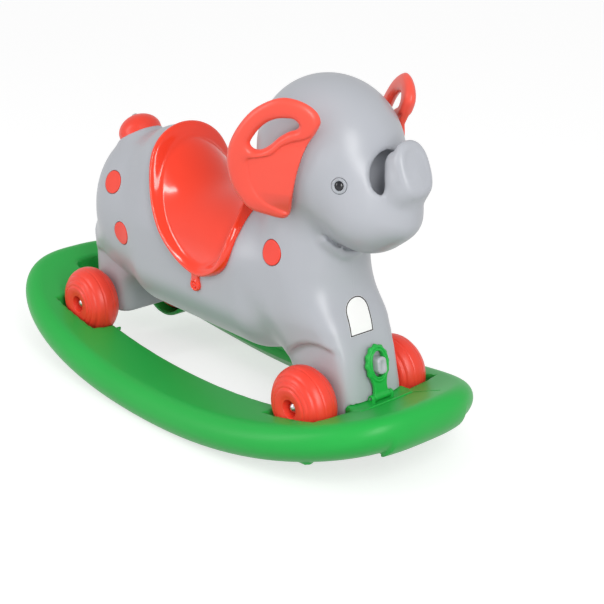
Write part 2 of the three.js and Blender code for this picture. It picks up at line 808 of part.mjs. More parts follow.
function spotPlaces() {
  return twoSides.flatMap(({ side, sign }) => [
    { name: `spot_rump_${side}`, ...sideSpot(rumpSpotX, rumpSpotZ, sign) },
    { name: `spot_thigh_${side}`, ...sideSpot(thighSpotX, thighSpotZ, sign) },
    { name: `spot_shoulder_${side}`, ...sideSpot(shoulderSpotX, shoulderSpotZ, sign) },
  ]);
}

function eyePlace(sign) {
  return sideSpot(headX + eyeAhead, headZ - eyeDrop, sign);
}

function tabPlace(sign) {
  return sideSpot(saddleTabX, saddleTabZ, sign);
}

function tailPlace() {
  const normal = new THREE.Vector3(-Math.sin(tailAngle * degree), 0, Math.cos(tailAngle * degree));
  return { point: new THREE.Vector3(tailX, 0, tailZ), normal };
}

// The trunk ends in a flat-faced oval disc with a rounded rim
function trunkDisc() {
  const rimRing = (inset, height) => {
    const [halfWidth, halfHeight] = [trunkTipHalfWidth - inset, trunkTipHalfHeight - inset];
    const pairs = ovalPairs(halfWidth, halfHeight, trunkTipExponent, trunkTipSides);
    return pairs.map(([y, z]) => new THREE.Vector3(height, y, z));
  };
  const face = trunkTipHalfLength;
  const back = face - trunkTipRimDepth;
  const slope = trunkTipRimRadius * (1 - Math.SQRT1_2);
  const disc = loft([
    rimRing(trunkTipRimRadius * 2, back - trunkTipRimRadius),
    rimRing(slope, back),
    rimRing(0, back + trunkTipRimRadius),
    rimRing(0, face - trunkTipRimRadius),
    rimRing(slope, face - slope),
    rimRing(trunkTipRimRadius, face),
  ]);
  return solidOf(disc.rotateY(-trunkTipAngle * degree).translate(trunkTipX, 0, trunkTipZ));
}

function makeBody(skin) {
  let body = solidOf(skin).add(trunkDisc());
  const wide = rockerWidth;
  const soleCut = box(rockerLength, wide, legSoleZ + overrun);
  body = body.subtract(solidOf(moved(soleCut, 0, 0, (legSoleZ - overrun) / 2)));
  const toeCut = box(rockerLength, wide, toeSoleZ + overrun);
  body = body.subtract(solidOf(moved(toeCut, toeX + rockerLength / 2, 0, (toeSoleZ - overrun) / 2)));
  const slot = new THREE.SphereGeometry(1, noseSlotSides, noseSlotSides / 2);
  slot.scale(noseSlotLength / 2, noseSlotWidth / 2, noseSlotHeight / 2);
  slot.translate(-noseSlotBack, 0, -noseSlotDrop);
  slot.rotateY(-trunkTipAngle * degree);
  body = body.subtract(solidOf(moved(slot, trunkTipX, 0, trunkTipZ)));
  for (const { x, sign } of wheelCentres()) {
    const arch = rodY(archRadius, wide, wheelSides);
    body = body.subtract(solidOf(moved(arch, x, sign * (legHalfWidth + wide / 2), axleHeight)));
  }
  for (const x of [frontAxleX, rearAxleX]) {
    const hole = rodY(aroundRadius(axleRadius + runningGap), wide, roundSides);
    body = body.subtract(solidOf(moved(hole, x, 0, axleHeight)));
  }
  for (const place of spotPlaces()) {
    const recess = plug(spotRadius + seatGap, -spotThickness - seatGap, overrun, discSides);
    body = body.subtract(solidOf(seated(recess, place)));
  }
  for (const { sign } of twoSides) {
    const socket = plug(eyeRadius + seatGap, -eyeSocketDepth - seatGap, overrun, discSides);
    body = body.subtract(solidOf(seated(socket, eyePlace(sign))));
    const screwHole = plug(screwShankRadius + seatGap, -screwLength - seatGap, overrun, screwSides);
    body = body.subtract(solidOf(seated(screwHole, tabPlace(sign))));
    for (const peg of earPegs(sign, earPegRadius + seatGap, earPegLength + seatGap)) {
      body = body.subtract(peg);
    }
  }
  const tailCut = plug(tailRadius * tailCutShare, 0, rockerDepth, wheelSides);
  return body.subtract(solidOf(seated(tailCut, tailPlace())));
}

// Saddle: a moulded shell that follows the back, with a raised rim and a flap on each side

function saddleEdges(share) {
  const angle = Math.abs(share);
  const rear = (1 - angle ** 2) ** (1 / saddleRearExponent);
  const front = (1 - angle ** saddleFrontSharpness) ** (1 / saddleFrontExponent);
  const rise = THREE.MathUtils.smoothstep(angle, 0, saddleShoulderShare);
  const frontReach = THREE.MathUtils.lerp(saddleFrontX - saddleFlapX, saddleFlapReach, rise);
  return [saddleFlapX + (saddleRearX - saddleFlapX) * rear, saddleFlapX + frontReach * front];
}

function saddleRing(share) {
  const [rear, front] = saddleEdges(share);
  const angle = share * saddleFlapAngle * degree;
  const direction = new THREE.Vector3(0, Math.sin(angle), Math.cos(angle));
  const toFlapEnd = (1 - Math.abs(share)) * saddleFlapAngle * degree * bellyHalfWidth;
  const outer = [];
  const inner = [];
  for (let step = 0; step <= saddleAcrossSteps; step += 1) {
    const x = rear + ((front - rear) * (1 - Math.cos((step / saddleAcrossSteps) * Math.PI))) / 2;
    const { point, normal } = surfaceSpot(x, saddleAxisZ, direction);
    const toEdge = Math.min(x - rear, front - x, toFlapEnd) / saddleRimWidth;
    const rimTurn = THREE.MathUtils.clamp(toEdge + saddleRimStartShare, 0, 1) * Math.PI;
    const rise = seatGap + saddleThickness + saddleRimRise * Math.sin(rimTurn);
    outer.push(point.clone().addScaledVector(normal, rise));
    inner.push(point.clone().addScaledVector(normal, -saddleSink));
  }
  return [...outer, ...inner.reverse()];
}

// The round tab that hangs below a flap, with the strap that joins it to the flap
function saddleTab(sign) {
  const place = tabPlace(sign);
  const tab = plug(saddleTabRadius, -saddleSink, saddleTabThickness, wheelSides);
  const strap = box(saddleTabRadius * 2, saddleTabThickness + saddleSink, saddleTabRadius * 2);
  strap.translate(0, (sign * (saddleTabThickness - saddleSink)) / 2, saddleTabRadius);
  const upright = new THREE.Quaternion().setFromUnitVectors(new THREE.Vector3(0, sign, 0), place.normal);
  strap.applyQuaternion(upright).translate(place.point.x, place.point.y, place.point.z);
  return solidOf(seated(tab, place)).add(solidOf(strap));
}

function makeSaddle(grownBody) {
  const rings = [];
  for (let ring = 0; ring <= saddleRingCount; ring += 1) {
    const turn = (ring / saddleRingCount) * 2 - 1;
    rings.push(saddleRing(saddleEndShare * turn * (1 + saddleSpreadShare * (1 - turn ** 2))));
  }
  let saddle = solidOf(loft(rings));
  for (const { sign } of twoSides) {
    const hole = plug(screwShankRadius + seatGap, -overrun, overrun, screwSides);
    saddle = saddle.add(saddleTab(sign)).subtract(solidOf(seated(hole, tabPlace(sign))));
  }
  return saddle.subtract(grownBody);
}

// Ears: moulded handles with a rolled rim, a thinner web and a grip hole, curled in along the lower
// part of their front edge until they meet the head

// Ear frame of the left side: X back along the ear, Y up it, Z out of its face
function earMatrix() {
  const flare = earFlareAngle * degree;
  const tilt = earTiltAngle * degree;
  const out = new THREE.Vector3(Math.sin(flare), Math.cos(flare), -Math.tan(tilt)).normalize();
  const along = new THREE.Vector3(-Math.cos(flare), Math.sin(flare), 0);
  const up = new THREE.Vector3().crossVectors(out, along);
  const matrix = new THREE.Matrix4().makeBasis(along, up, out);
  return matrix.setPosition(headX + earRootAhead, headHalfWidth - earRootInset, headZ + earRootRise);
}

function earPoints(shares) {
  return shares.map(([back, up]) => {
    const along = earBehindRoot + back * earLength;
    return new THREE.Vector2(along, earBelowRoot + up * earHeight);
  });
}

function closedCurvePoints(points, count) {
  const corners = points.map(({ x, y }) => new THREE.Vector3(x, y, 0));
  const curve = new THREE.CatmullRomCurve3(corners, true, "centripetal");
  return curve.getPoints(count).slice(0, -1).map(({ x, y }) => new THREE.Vector2(x, y));
}

// The front edge of the flat ear at a level, and how far it lies from the head
function earFrontEdge(level, matrix, direction) {
  const share = THREE.MathUtils.clamp((level - earBelowRoot) / earHeight, 0, 1);
  const along = earBehindRoot + THREE.MathUtils.lerp(...earFrontEdgeShares, share) * earLength;
  const start = new THREE.Vector3(along, level, 0).applyMatrix4(matrix);
  let reach = 0;
  for (let step = 0; step < earCurlSteps; step += 1) {
    const at = start.clone().addScaledVector(direction, reach);
    reach = THREE.MathUtils.clamp(reach + bodyField(at.x, at.y, at.z), 0, earCurlReach);
  }
  return { along, reach };
}

// Where a point of the flat left ear comes to lie on the curled one
function curled(x, y, z) {
  const matrix = earMatrix();
  const direction = new THREE.Vector3(...earCurlShares).transformDirection(matrix);
  const { along, reach } = earFrontEdge(y, matrix, direction);
  const share = (1 - THREE.MathUtils.smoothstep(x - along, 0, earCurlLength))
    * THREE.MathUtils.smoothstep(-y, 0, -earBelowRoot / 2);
  return new THREE.Vector3(x, y, z).applyMatrix4(matrix).addScaledVector(direction, reach * share);
}

function earPegs(sign, radius, length) {
  return [-1, 1].map((level) => {
    const middle = curled(earPegSetback, (earPegSpacing / 2) * level, 0);
    const peg = rodY(radius, length, roundSides);
    return solidOf(moved(peg, middle.x, sign * (middle.y + earPegInset - length / 2), middle.z));
  });
}

function makeEar(sign, grownBody) {
  const shape = new THREE.Shape(closedCurvePoints(earPoints(earOutlineShares), earOutlinePoints));
  shape.holes.push(new THREE.Path(closedCurvePoints(earPoints(earHoleShares), earHolePoints)));
  const core = earThickness - earRound * 2;
  const plate = new THREE.ExtrudeGeometry(shape, {
    depth: core,
    bevelThickness: earRound,
    bevelSize: earRound,
    bevelOffset: -earRound,
    bevelSegments: earRoundSteps,
  });
  let flat = solidOf(plate.translate(0, 0, -core / 2));
  const web = new THREE.Shape(closedCurvePoints(earPoints(earWebShares), earWebPoints));
  for (const bottom of [earThickness / 2 - earWebDepth, earWebDepth - earThickness / 2 - overrun]) {
    flat = flat.subtract(solidOf(prism(web, bottom, bottom + overrun)));
  }
  const left = flat.simplify(earTolerance).refineToLength(earFacet).warp((corner) => {
    curled(...corner).toArray(corner);
  });
  const ear = sign > 0 ? left : left.mirror([0, 1, 0]);
  const [lower, upper] = earPegs(sign, earPegRadius, earPegLength);
  return ear.simplify(earTolerance).subtract(grownBody).add(lower).add(upper);
}

// Wheels, axles and what is on them

function wheelProfile() {
  const half = wheelWidth / 2;
  const bore = axleRadius + runningGap;
  const flank = [];
  for (let step = 0; step <= wheelFlankSteps * 2; step += 1) {
    const turn = (step / wheelFlankSteps - 1) * (Math.PI / 2);
    const radius = wheelFaceRadius + (wheelRadius - wheelFaceRadius) * Math.cos(turn);
    flank.push(new THREE.Vector2(radius, half * Math.sin(turn)));
  }
  return [
    new THREE.Vector2(bore, -half),
    ...flank,
    new THREE.Vector2(wheelFaceRadius - wheelGrooveWidth / 2, half - wheelGrooveDepth),
    new THREE.Vector2(wheelFaceRadius - wheelGrooveWidth, half),
    new THREE.Vector2(wheelHubRadius, half),
    new THREE.Vector2(wheelHubRadius, half - wheelHubDepth),
    new THREE.Vector2(bore, half - wheelHubDepth),
    new THREE.Vector2(bore, -half),
  ];
}

function addWheels(group) {
  for (const { end, side, sign, x, y } of wheelCentres()) {
    const wheel = new THREE.LatheGeometry(wheelProfile(), wheelSides);
    if (sign < 0) {
      wheel.rotateX(Math.PI);
    }
    const mesh = pieceOf(`wheel_${end}_${side}`, closedGeometry(wheel), wheelRed);
    mesh.position.set(x, y, axleHeight);
    group.add(mesh);
  }
}

function addAxles(group) {
  const capY = wheelTrack / 2 + wheelWidth / 2 - wheelHubDepth + runningGap;
  const capBoreDepth = capLength * capBoreShare;
  const bore = axleRadius + seatGap;
  for (const [end, x] of [["front", frontAxleX], ["rear", rearAxleX]]) {
    const rod = rodY(axleRadius, (capY + capBoreDepth - seatGap) * 2, roundSides);
    const axle = pieceOf(`axle_${end}`, closedGeometry(rod), brightSteel);
    axle.position.set(x, 0, axleHeight);
    group.add(axle);
  }
  const capOutside = capProfileShares.map(([radius, height]) => [radius * capRadius, height * capLength]);
  const capProfile = [[bore, 0], ...capOutside, [0, capBoreDepth], [bore, capBoreDepth], [bore, 0]];
  const washerProfile = [[bore, 0], [washerRadius, 0], [washerRadius, washerThickness],
    [bore, washerThickness], [bore, 0]];
  const rounds = [
    { name: "axle_cap", profile: capProfile, y: capY },
    { name: "washer", profile: washerProfile, y: legHalfWidth + seatGap },
  ];
  for (const { end, side, sign, x } of wheelCentres()) {
    for (const { name, profile, y } of rounds) {
      const ring = turned(profile, roundSides);
      if (sign < 0) {
        ring.rotateX(Math.PI);
      }
      const piece = pieceOf(`${name}_${end}_${side}`, closedGeometry(ring), brightSteel);
      piece.position.set(x, sign * y, axleHeight);
      group.add(piece);
    }
  }
}

function addFace(group) {
  const bore = pupilRadius + seatGap;
  const [crestShare, lipRiseShare] = eyeRingRiseShares;
  const ringProfile = [
    [bore, -eyeSocketDepth], [eyeRadius, -eyeSocketDepth], [eyeRadius, 0],
    [(eyeRadius + bore) / 2, pupilRise * crestShare], [bore, pupilRise * lipRiseShare],
    [bore, -eyeSocketDepth],
  ];
  const dome = pupilProfileShares.map(([radius, height]) => [radius * pupilRadius, height * pupilRise]);
  const pupilProfile = [[0, -eyeSocketDepth], [pupilRadius, -eyeSocketDepth], ...dome];
  for (const { side, sign } of twoSides) {
    const ring = seated(turned(ringProfile, discSides), eyePlace(sign));
    const pupil = seated(turned(pupilProfile, discSides), eyePlace(sign));
    group.add(pieceOf(`eye_ring_${side}`, closedGeometry(ring), eyeWhite));
    group.add(pieceOf(`eye_pupil_${side}`, closedGeometry(pupil), pupilBlack));
  }
}

function addSpots(group) {
  const bevel = spotProud / 2;
  const profile = [[0, -spotThickness], [spotRadius, -spotThickness], [spotRadius, spotProud - bevel],
    [spotRadius - bevel, spotProud], [0, spotProud]];
  for (const place of spotPlaces()) {
    group.add(pieceOf(place.name, closedGeometry(seated(turned(profile, discSides), place)), wheelRed));
  }
}

// A screw whose head rests on a seat at a height above its place
function screwGeometry(height) {
  const head = screwHeadProfileShares.map(([radius, rise]) => [
    radius * screwHeadRadius,
    seatGap + rise * (screwHeadHeight - seatGap),
  ]);
  const shank = [[0, -screwLength], [screwShankRadius, -screwLength], [screwShankRadius, seatGap]];
  return turned([...shank, ...head], screwSides).translate(0, height, 0);
}

function addTail(group) {
  const place = tailPlace();
  const dome = [[0, seatGap]];
  for (let step = 0; step < tailCapSteps; step += 1) {
    const turn = (step / tailCapSteps) * (Math.PI / 2);
    dome.push([tailCapRadius * Math.cos(turn), seatGap + tailCapHeight * Math.sin(turn)]);
  }
  const top = seatGap + tailCapHeight;
  dome.push([0, top]);
  const hole = plug(screwShankRadius + seatGap, top - screwLength - seatGap * 2, top + overrun, screwSides);
  const cap = solidOf(turned(dome, wheelSides)).subtract(solidOf(hole));
  group.add(pieceOf("tail_cap", seated(geometryOf(cap), place), wheelRed));
  group.add(pieceOf("tail_screw", closedGeometry(seated(screwGeometry(top), place)), brightSteel));
}

function addSaddle(group, grownBody) {
  group.add(pieceOf("saddle", geometryOf(makeSaddle(grownBody)), saddleRed));
  for (const { side, sign } of twoSides) {
    const screw = seated(screwGeometry(saddleTabThickness), tabPlace(sign));
    group.add(pieceOf(`saddle_screw_${side}`, closedGeometry(screw), saddleRed));
  }
}

// Latch: a hinged strap with a ridged ring that drops over a hook on the chest

// An oval round the middle of the latch's ring, with waves of a depth in its edge
function ovalPoints(width, height, count, waveDepth) {
  const centre = latchLength - latchRingHeight / 2;
  const points = [];
  for (let step = 0; step < count; step += 1) {
    const turn = (step / count) * Math.PI * 2;
    const wave = waveDepth * Math.cos(turn * latchWaveCount);
    points.push(new THREE.Vector2(
      Math.cos(turn) * (width / 2 + wave),
      centre + Math.sin(turn) * (height / 2 + wave),
    ));
  }
  return points;
}

// Latch frame: X across, Y up the strap from the hinge, Z out of its front face
function latchMatrix() {
  const lean = latchAngle * degree;
  const across = new THREE.Vector3(0, 1, 0);
  const up = new THREE.Vector3(-Math.sin(lean), 0, Math.cos(lean));
  const out = new THREE.Vector3(Math.cos(lean), 0, Math.sin(lean));
  return new THREE.Matrix4().makeBasis(across, up, out).setPosition(latchHingeX, 0, latchHingeZ);
}

// A rod across the latch frame at its hinge
function rodAcross(radius, length) {
  return new THREE.CylinderGeometry(radius, radius, length, roundSides).rotateZ(Math.PI / 2);
}

function makeLatch() {
  const half = latchThickness / 2;
  const centre = latchLength - latchRingHeight / 2;
  const neckTop = centre - latchSlotHeight / 2;
  const neck = new THREE.Shape();
  neck.moveTo(-latchNeckWidth / 2, 0);
  neck.quadraticCurveTo(-latchNeckWidth * waistShare, neckTop / 2, -latchNeckWidth / 2, neckTop);
  neck.lineTo(latchNeckWidth / 2, neckTop);
  neck.quadraticCurveTo(latchNeckWidth * waistShare, neckTop / 2, latchNeckWidth / 2, 0);
  const outline = ovalPoints(latchRingWidth, latchRingHeight, latchWaveCount * 2, latchWaveDepth);
  const ring = new THREE.Shape(outline);
  let latch = solidOf(prism(ring, -half, half)).add(solidOf(prism(neck, -half, half)));
  for (const inset of latchRidgeInsets) {
    const ridge = new THREE.Shape(
      ovalPoints(latchRingWidth - inset * 2, latchRingHeight - inset * 2, latchRingPoints, 0),
    );
    const inside = inset + latchRidgeWidth;
    ridge.holes.push(new THREE.Path(
      ovalPoints(latchRingWidth - inside * 2, latchRingHeight - inside * 2, latchRingPoints, 0),
    ));
    latch = latch.add(solidOf(prism(ridge, 0, half + latchRidgeHeight)));
  }
  latch = latch.add(solidOf(rodAcross(latchKnuckleRadius, latchNeckWidth)));
  const slot = roundedRectangle(-latchSlotWidth / 2, latchSlotWidth / 2,
    centre - latchSlotHeight / 2, centre + latchSlotHeight / 2, latchSlotWidth / 2 - runningGap);
  latch = latch.subtract(solidOf(prism(slot, -overrun, overrun)));
  latch = latch.subtract(solidOf(rodAcross(latchPinRadius + runningGap, latchNeckWidth * 2)));
  return geometryOf(latch).applyMatrix4(latchMatrix());
}

function makeHook(grownBody) {
  const side = hookWidth / 2;
  const shape = roundedRectangle(-side, side, hookBottom, hookTop, side - runningGap);
  const peg = prism(shape, -hookRoot, hookTip).applyMatrix4(latchMatrix());
  return geometryOf(solidOf(peg).subtract(grownBody));
}

function addLatch(group, grownBody) {
  group.add(pieceOf("latch", makeLatch(), rockerGreen));
  const pinLength = latchNeckWidth + (runningGap + latchLugThickness) * 2;
  const pin = pieceOf("latch_pin", closedGeometry(rodY(latchPinRadius, pinLength, roundSides)), brightSteel);
  pin.position.set(latchHingeX, 0, latchHingeZ);
  group.add(pin);
  group.add(pieceOf("latch_hook", makeHook(grownBody), bodyGrey));
}

const group = new THREE.Group();
const skin = bodyGeometry();
const grownBody = solidOf(inflated(skin, seatGap));
group.add(pieceOf("rocker_base", geometryOf(makeRocker()), rockerGreen));
group.add(pieceOf("body_shell", geometryOf(makeBody(skin)), bodyGrey));
addSaddle(group, grownBody);
for (const { side, sign } of twoSides) {
  group.add(pieceOf(`ear_${side}`, geometryOf(makeEar(sign, grownBody)), earRed));
}
addFace(group);
addSpots(group);
addTail(group);
addWheels(group);
addAxles(group);
addLatch(group, grownBody);

export default group;
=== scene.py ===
"""Rocking elephant on wheels in its lift-off rocker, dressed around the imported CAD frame.

Lengths inside the classes are millimetres in the frame's axes: +X forward, +Y left, +Z up.
"""
import json
import logging
import math
from collections.abc import Callable, Iterable
from dataclasses import dataclass, field
from enum import Enum
from functools import partial

import bmesh
import bpy
import numpy as np
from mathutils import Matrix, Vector


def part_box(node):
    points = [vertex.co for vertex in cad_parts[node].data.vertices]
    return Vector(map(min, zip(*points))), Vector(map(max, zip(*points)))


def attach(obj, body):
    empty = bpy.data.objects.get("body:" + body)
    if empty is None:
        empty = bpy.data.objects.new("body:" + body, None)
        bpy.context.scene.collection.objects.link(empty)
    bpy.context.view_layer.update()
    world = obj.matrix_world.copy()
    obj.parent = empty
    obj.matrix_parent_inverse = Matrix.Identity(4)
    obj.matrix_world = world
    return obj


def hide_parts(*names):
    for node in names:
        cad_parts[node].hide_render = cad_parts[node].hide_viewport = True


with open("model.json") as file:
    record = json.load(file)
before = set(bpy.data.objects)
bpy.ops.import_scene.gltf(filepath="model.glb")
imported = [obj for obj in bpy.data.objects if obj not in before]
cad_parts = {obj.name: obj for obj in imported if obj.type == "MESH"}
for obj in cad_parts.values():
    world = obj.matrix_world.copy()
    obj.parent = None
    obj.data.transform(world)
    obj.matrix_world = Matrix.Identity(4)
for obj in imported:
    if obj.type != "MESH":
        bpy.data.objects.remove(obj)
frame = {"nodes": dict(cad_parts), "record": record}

LOG = logging.getLogger("rocking_elephant")
MM = 0.001
WELD = 1e-6
CRISP_DEGREES = 50.0
FINE_CELL = 0.9
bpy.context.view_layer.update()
Array = np.ndarray
Field = Callable[[Array], Array]
Pair = tuple[float, float]
Triple = tuple[float, float, float]
Profile = list[Pair]
Piece = bpy.types.Object
Tree = bpy.types.NodeTree
Node = bpy.types.Node
Socket = bpy.types.NodeSocket


class Side(Enum):
    """The elephant's two sides, as the sign of Y."""

    LEFT = 1
    RIGHT = -1

    @property
    def word(self) -> str:
        """The side's name in the frame's node names."""
        return self.name.lower()


# Fields: signed distances in millimetres, negative inside


def blend(a: Array, b: Array, reach: float) -> Array:
    """Join two fields with a rounded valley.

    Args:
        a: First field's values.
        b: Second field's values.
        reach: Width of the rounding.

    Returns:
        The joined field's values.
    """
    h = np.maximum(reach - np.abs(a - b), 0.0) / reach
    return np.minimum(a, b) - h * h * reach / 4.0


def carve(a: Array, b: Array, reach: float) -> Array:
    """Cut field b out of field a with a rounded edge."""
    return -blend(-a, b, reach)


def overlap(a: Array, b: Array, reach: float) -> Array:
    """Keep what two fields share, with a rounded edge."""
    return -blend(-a, -b, reach)


def ellipsoid(p: Array, centre: Vector, half: Vector) -> Array:
    """Distance to an ellipsoid, exact near its surface.

    Args:
        p: Points, last axis X, Y, Z.
        centre: The ellipsoid's centre.
        half: Its half sizes.

    Returns:
        The field's values at the points.
    """
    r = np.array(half)
    q = (p - np.array(centre)) / r
    length = np.linalg.norm(q, axis=-1)
    slope = np.linalg.norm(q / r, axis=-1)
    return np.where(slope < 1e-9, -min(half), length * (length - 1.0) / np.maximum(slope, 1e-9))


def rounded_block(q: Array, half: Vector, radius: float) -> Array:
    """Distance to a block with rounded edges, centred on zero."""
    e = np.abs(q) - np.array(half) + radius
    outside = np.linalg.norm(np.maximum(e, 0.0), axis=-1)
    return outside + np.minimum(e.max(axis=-1), 0.0) - radius


def round_cone(p: Array, start: Vector, start_radius: float, end: Vector, end_radius: float) -> Array:
    """Distance to a cone with round ends.

    Args:
        p: Points.
        start: Centre of the first ball.
        start_radius: Its radius.
        end: Centre of the second ball.
        end_radius: Its radius.

    Returns:
        The field's values at the points.
    """
    a = np.array(start)
    d = np.array(end) - a
    along = np.clip(((p - a) @ d) / (d @ d), 0.0, 1.0)
    nearest = a + along[..., None] * d
    return np.linalg.norm(p - nearest, axis=-1) - (start_radius + (end_radius - start_radius) * along)


def chain(p: Array, path: tuple[Triple, ...], radius: float) -> Array:
    """A round bead that follows a path of points."""
    return np.minimum.reduce([round_cone(p, a, radius, b, radius) for a, b in zip(path, path[1:])])


def rod(p: Array, centre: Array, radius: float, half: float) -> Array:
    """Distance to a rod parallel to Y.

    Args:
        p: Points.
        centre: The rod's middle.
        radius: Its radius.
        half: Half its length.

    Returns:
        The field's values at the points.
    """
    side = np.hypot(p[..., 0] - centre[0], p[..., 2] - centre[2]) - radius
    return np.maximum(side, np.abs(p[..., 1] - centre[1]) - half)


def rounded_edge(outline: Array, slab: Array, radius: float) -> Array:
    """Keep what an outline and a slab share, with an edge of an exact radius."""
    a, b = outline + radius, slab + radius
    return np.hypot(np.maximum(a, 0.0), np.maximum(b, 0.0)) + np.minimum(np.maximum(a, b), 0.0) - radius


def smooth(value: Array, low: float, high: float) -> Array:
    """Rise from 0 to 1 between two values, level at both ends."""
    t = np.clip((value - low) / (high - low), 0.0, 1.0)
    return t * t * (3.0 - 2.0 * t)


def rounded_rectangle(p: Array, x0: float, x1: float, y0: float, y1: float, radius: float) -> Array:
    """Distance in plan to a rectangle with round corners."""
    centre = np.array([(x0 + x1) / 2.0, (y0 + y1) / 2.0])
    half = np.array([(x1 - x0) / 2.0, (y1 - y0) / 2.0])
    return rounded_block(p[..., :2] - centre, half, radius)


def looked_up(table: Array, u: Array, v: Array) -> Array:
    """Values of a table between its entries, given by row and column."""
    u = np.clip(u, 0.0, table.shape[0] - 1.001)
    v = np.clip(v, 0.0, table.shape[1] - 1.001)
    i, j = u.astype(int), v.astype(int)
    a, b = u - i, v - j
    return ((table[i, j] * (1 - a) + table[i + 1, j] * a) * (1 - b)
            + (table[i, j + 1] * (1 - a) + table[i + 1, j + 1] * a) * b)


def polygon_distance(u: Array, v: Array, corners: Array) -> Array:
    """Signed distance in a plane to a closed outline.

    Args:
        u: First coordinate of the points.
        v: Second coordinate of the points.
        corners: The outline's corners, one row each.

    Returns:
        Distances, negative inside.
    """
    best = np.full(u.shape, np.inf)
    inside = np.zeros(u.shape, bool)
    for a, b in zip(corners, np.roll(corners, -1, axis=0)):
        e = b - a
        along = np.clip(((u - a[0]) * e[0] + (v - a[1]) * e[1]) / (e @ e), 0.0, 1.0)
        best = np.minimum(best, np.hypot(u - a[0] - along * e[0], v - a[1] - along * e[1]))
        if a[1] != b[1]:
            crosses = (a[1] > v) != (b[1] > v)
            inside ^= crosses & (u < a[0] + (v - a[1]) * e[0] / e[1])
    return np.where(inside, -best, best)


def slope_of(shape: Field, p: Array, step: float = 0.2) -> Array:
    """Gradient of a field by central differences."""
    columns = []
    for axis in np.eye(3) * step:
        columns.append((shape(p + axis) - shape(p - axis)) / (2.0 * step))
    return np.stack(columns, axis=-1)


def settle(shape: Field, p: Array, rounds: int = 4) -> Array:
    """Move points along the gradient until they lie where a field is zero."""
    for _ in range(rounds):
        g = slope_of(shape, p)
        square = np.maximum((g * g).sum(-1, keepdims=True), 0.05)
        p = p - g * np.clip(shape(p), -3.0, 3.0)[:, None] / square
    return p


def net_of(shape: Field, low: Array, high: Array, cell: float) -> tuple[Array, Array]:
    """Cover the zero surface of a field with four-sided faces.

    Args:
        shape: The field.
        low: Lowest corner of the space to cover.
        high: Highest corner.
        cell: Side of a grid cell.

    Returns:
        Points, and faces as rows of four point numbers, all facing outwards.
    """
    counts = np.ceil((high - low) / cell).astype(int) + 1
    axes = [low[k] + cell * np.arange(counts[k]) for k in range(3)]
    values = np.empty(counts)
    for i, x in enumerate(axes[0]):
        y, z = np.meshgrid(axes[1], axes[2], indexing="ij")
        values[i] = shape(np.stack([np.full_like(y, x), y, z], axis=-1))
    inside = values < 0
    cells = counts - 1
    total = np.zeros((*cells, 3))
    hits = np.zeros(cells, int)
    edges = []
    for axis in range(3):
        first = np.take(values, range(counts[axis] - 1), axis)
        second = np.take(values, range(1, counts[axis]), axis)
        crossed = (first < 0) != (second < 0)
        edges.append(crossed)
        share = np.where(crossed, first / np.where(crossed, first - second, 1.0), 0.0)
        steps = np.meshgrid(*[np.arange(n) for n in crossed.shape], indexing="ij")
        at = np.stack(steps, axis=-1).astype(float)
        at[..., axis] += share
        at = low + at * cell
        others = [k for k in range(3) if k != axis]
        for du in (0, 1):
            for dv in (0, 1):
                window = [slice(None)] * 3
                window[others[0]] = slice(du, cells[others[0]] + du)
                window[others[1]] = slice(dv, cells[others[1]] + dv)
                chosen = crossed[tuple(window)]
                total += np.where(chosen[..., None], at[tuple(window)], 0.0)
                hits += chosen
    number = np.full(cells, -1)
    active = hits > 0
    number[active] = np.arange(active.sum())
    points = total[active] / hits[active][:, None]
    faces = []
    for axis, crossed in enumerate(edges):
        u, v = (axis + 1) % 3, (axis + 2) % 3
        place = np.argwhere(crossed)
        keep = (place[:, u] > 0) & (place[:, v] > 0) & (place[:, u] < cells[u]) & (place[:, v] < cells[v])
        place = place[keep]
        corners = []
        for du, dv in ((0, 0), (1, 0), (1, 1), (0, 1)):
            at = place.copy()
            at[:, u] -= du
            at[:, v] -= dv
            corners.append(number[tuple(at.T)])
        quads = np.stack(corners, axis=1)
        turned = ~inside[tuple(place.T)]
        quads[turned] = quads[turned][:, ::-1]
        faces.append(quads)
    return settle(shape, points), np.concatenate(faces)


# Meshes


def linked(name: str, data: bpy.types.ID) -> Piece:
    """Put a mesh, lamp or camera into the scene as an object at the origin."""
    obj = bpy.data.objects.new(name, data)
    bpy.context.scene.collection.objects.link(obj)
    return obj


def mesh_piece(name: str, points: Array, faces: Iterable, sharp_degrees: float = CRISP_DEGREES) -> Piece:
    """Make a smooth-shaded object from points in millimetres.

    Args:
        name: The piece's name.
        points: One row for each point.
        faces: Point numbers of each face.
        sharp_degrees: Edges that turn by more than this stay crisp.

    Returns:
        The object, at the origin, linked to the scene.
    """
    mesh = bpy.data.meshes.new(name)
    mesh.from_pydata((np.asarray(points) * MM).tolist(), [], [list(map(int, f)) for f in faces])
    mesh.validate()
    obj = linked(name, mesh)
    crisp(obj, sharp_degrees)
    return obj


def crisp(obj: Piece, sharp_degrees: float = CRISP_DEGREES) -> None:
    """Shade an object smooth and keep its edges above an angle crisp."""
    mesh = obj.data
    mesh.shade_smooth()
    bm = bmesh.new()
    bm.from_mesh(mesh)
    limit = math.radians(sharp_degrees)
    for edge in bm.edges:
        edge.smooth = not (len(edge.link_faces) == 2 and edge.calc_face_angle(0.0) > limit)
    bm.to_mesh(mesh)
    bm.free()


def grid_faces(rows: int, columns: int, closed: bool) -> list[tuple[int, int, int, int]]:
    """Faces of a grid of points kept row by row, closed round or not."""
    faces = []
    for row in range(rows - 1):
        for column in range(columns if closed else columns - 1):
            after = (column + 1) % columns
            faces.append((row * columns + column, row * columns + after,
                          (row + 1) * columns + after, (row + 1) * columns + column))
    return faces


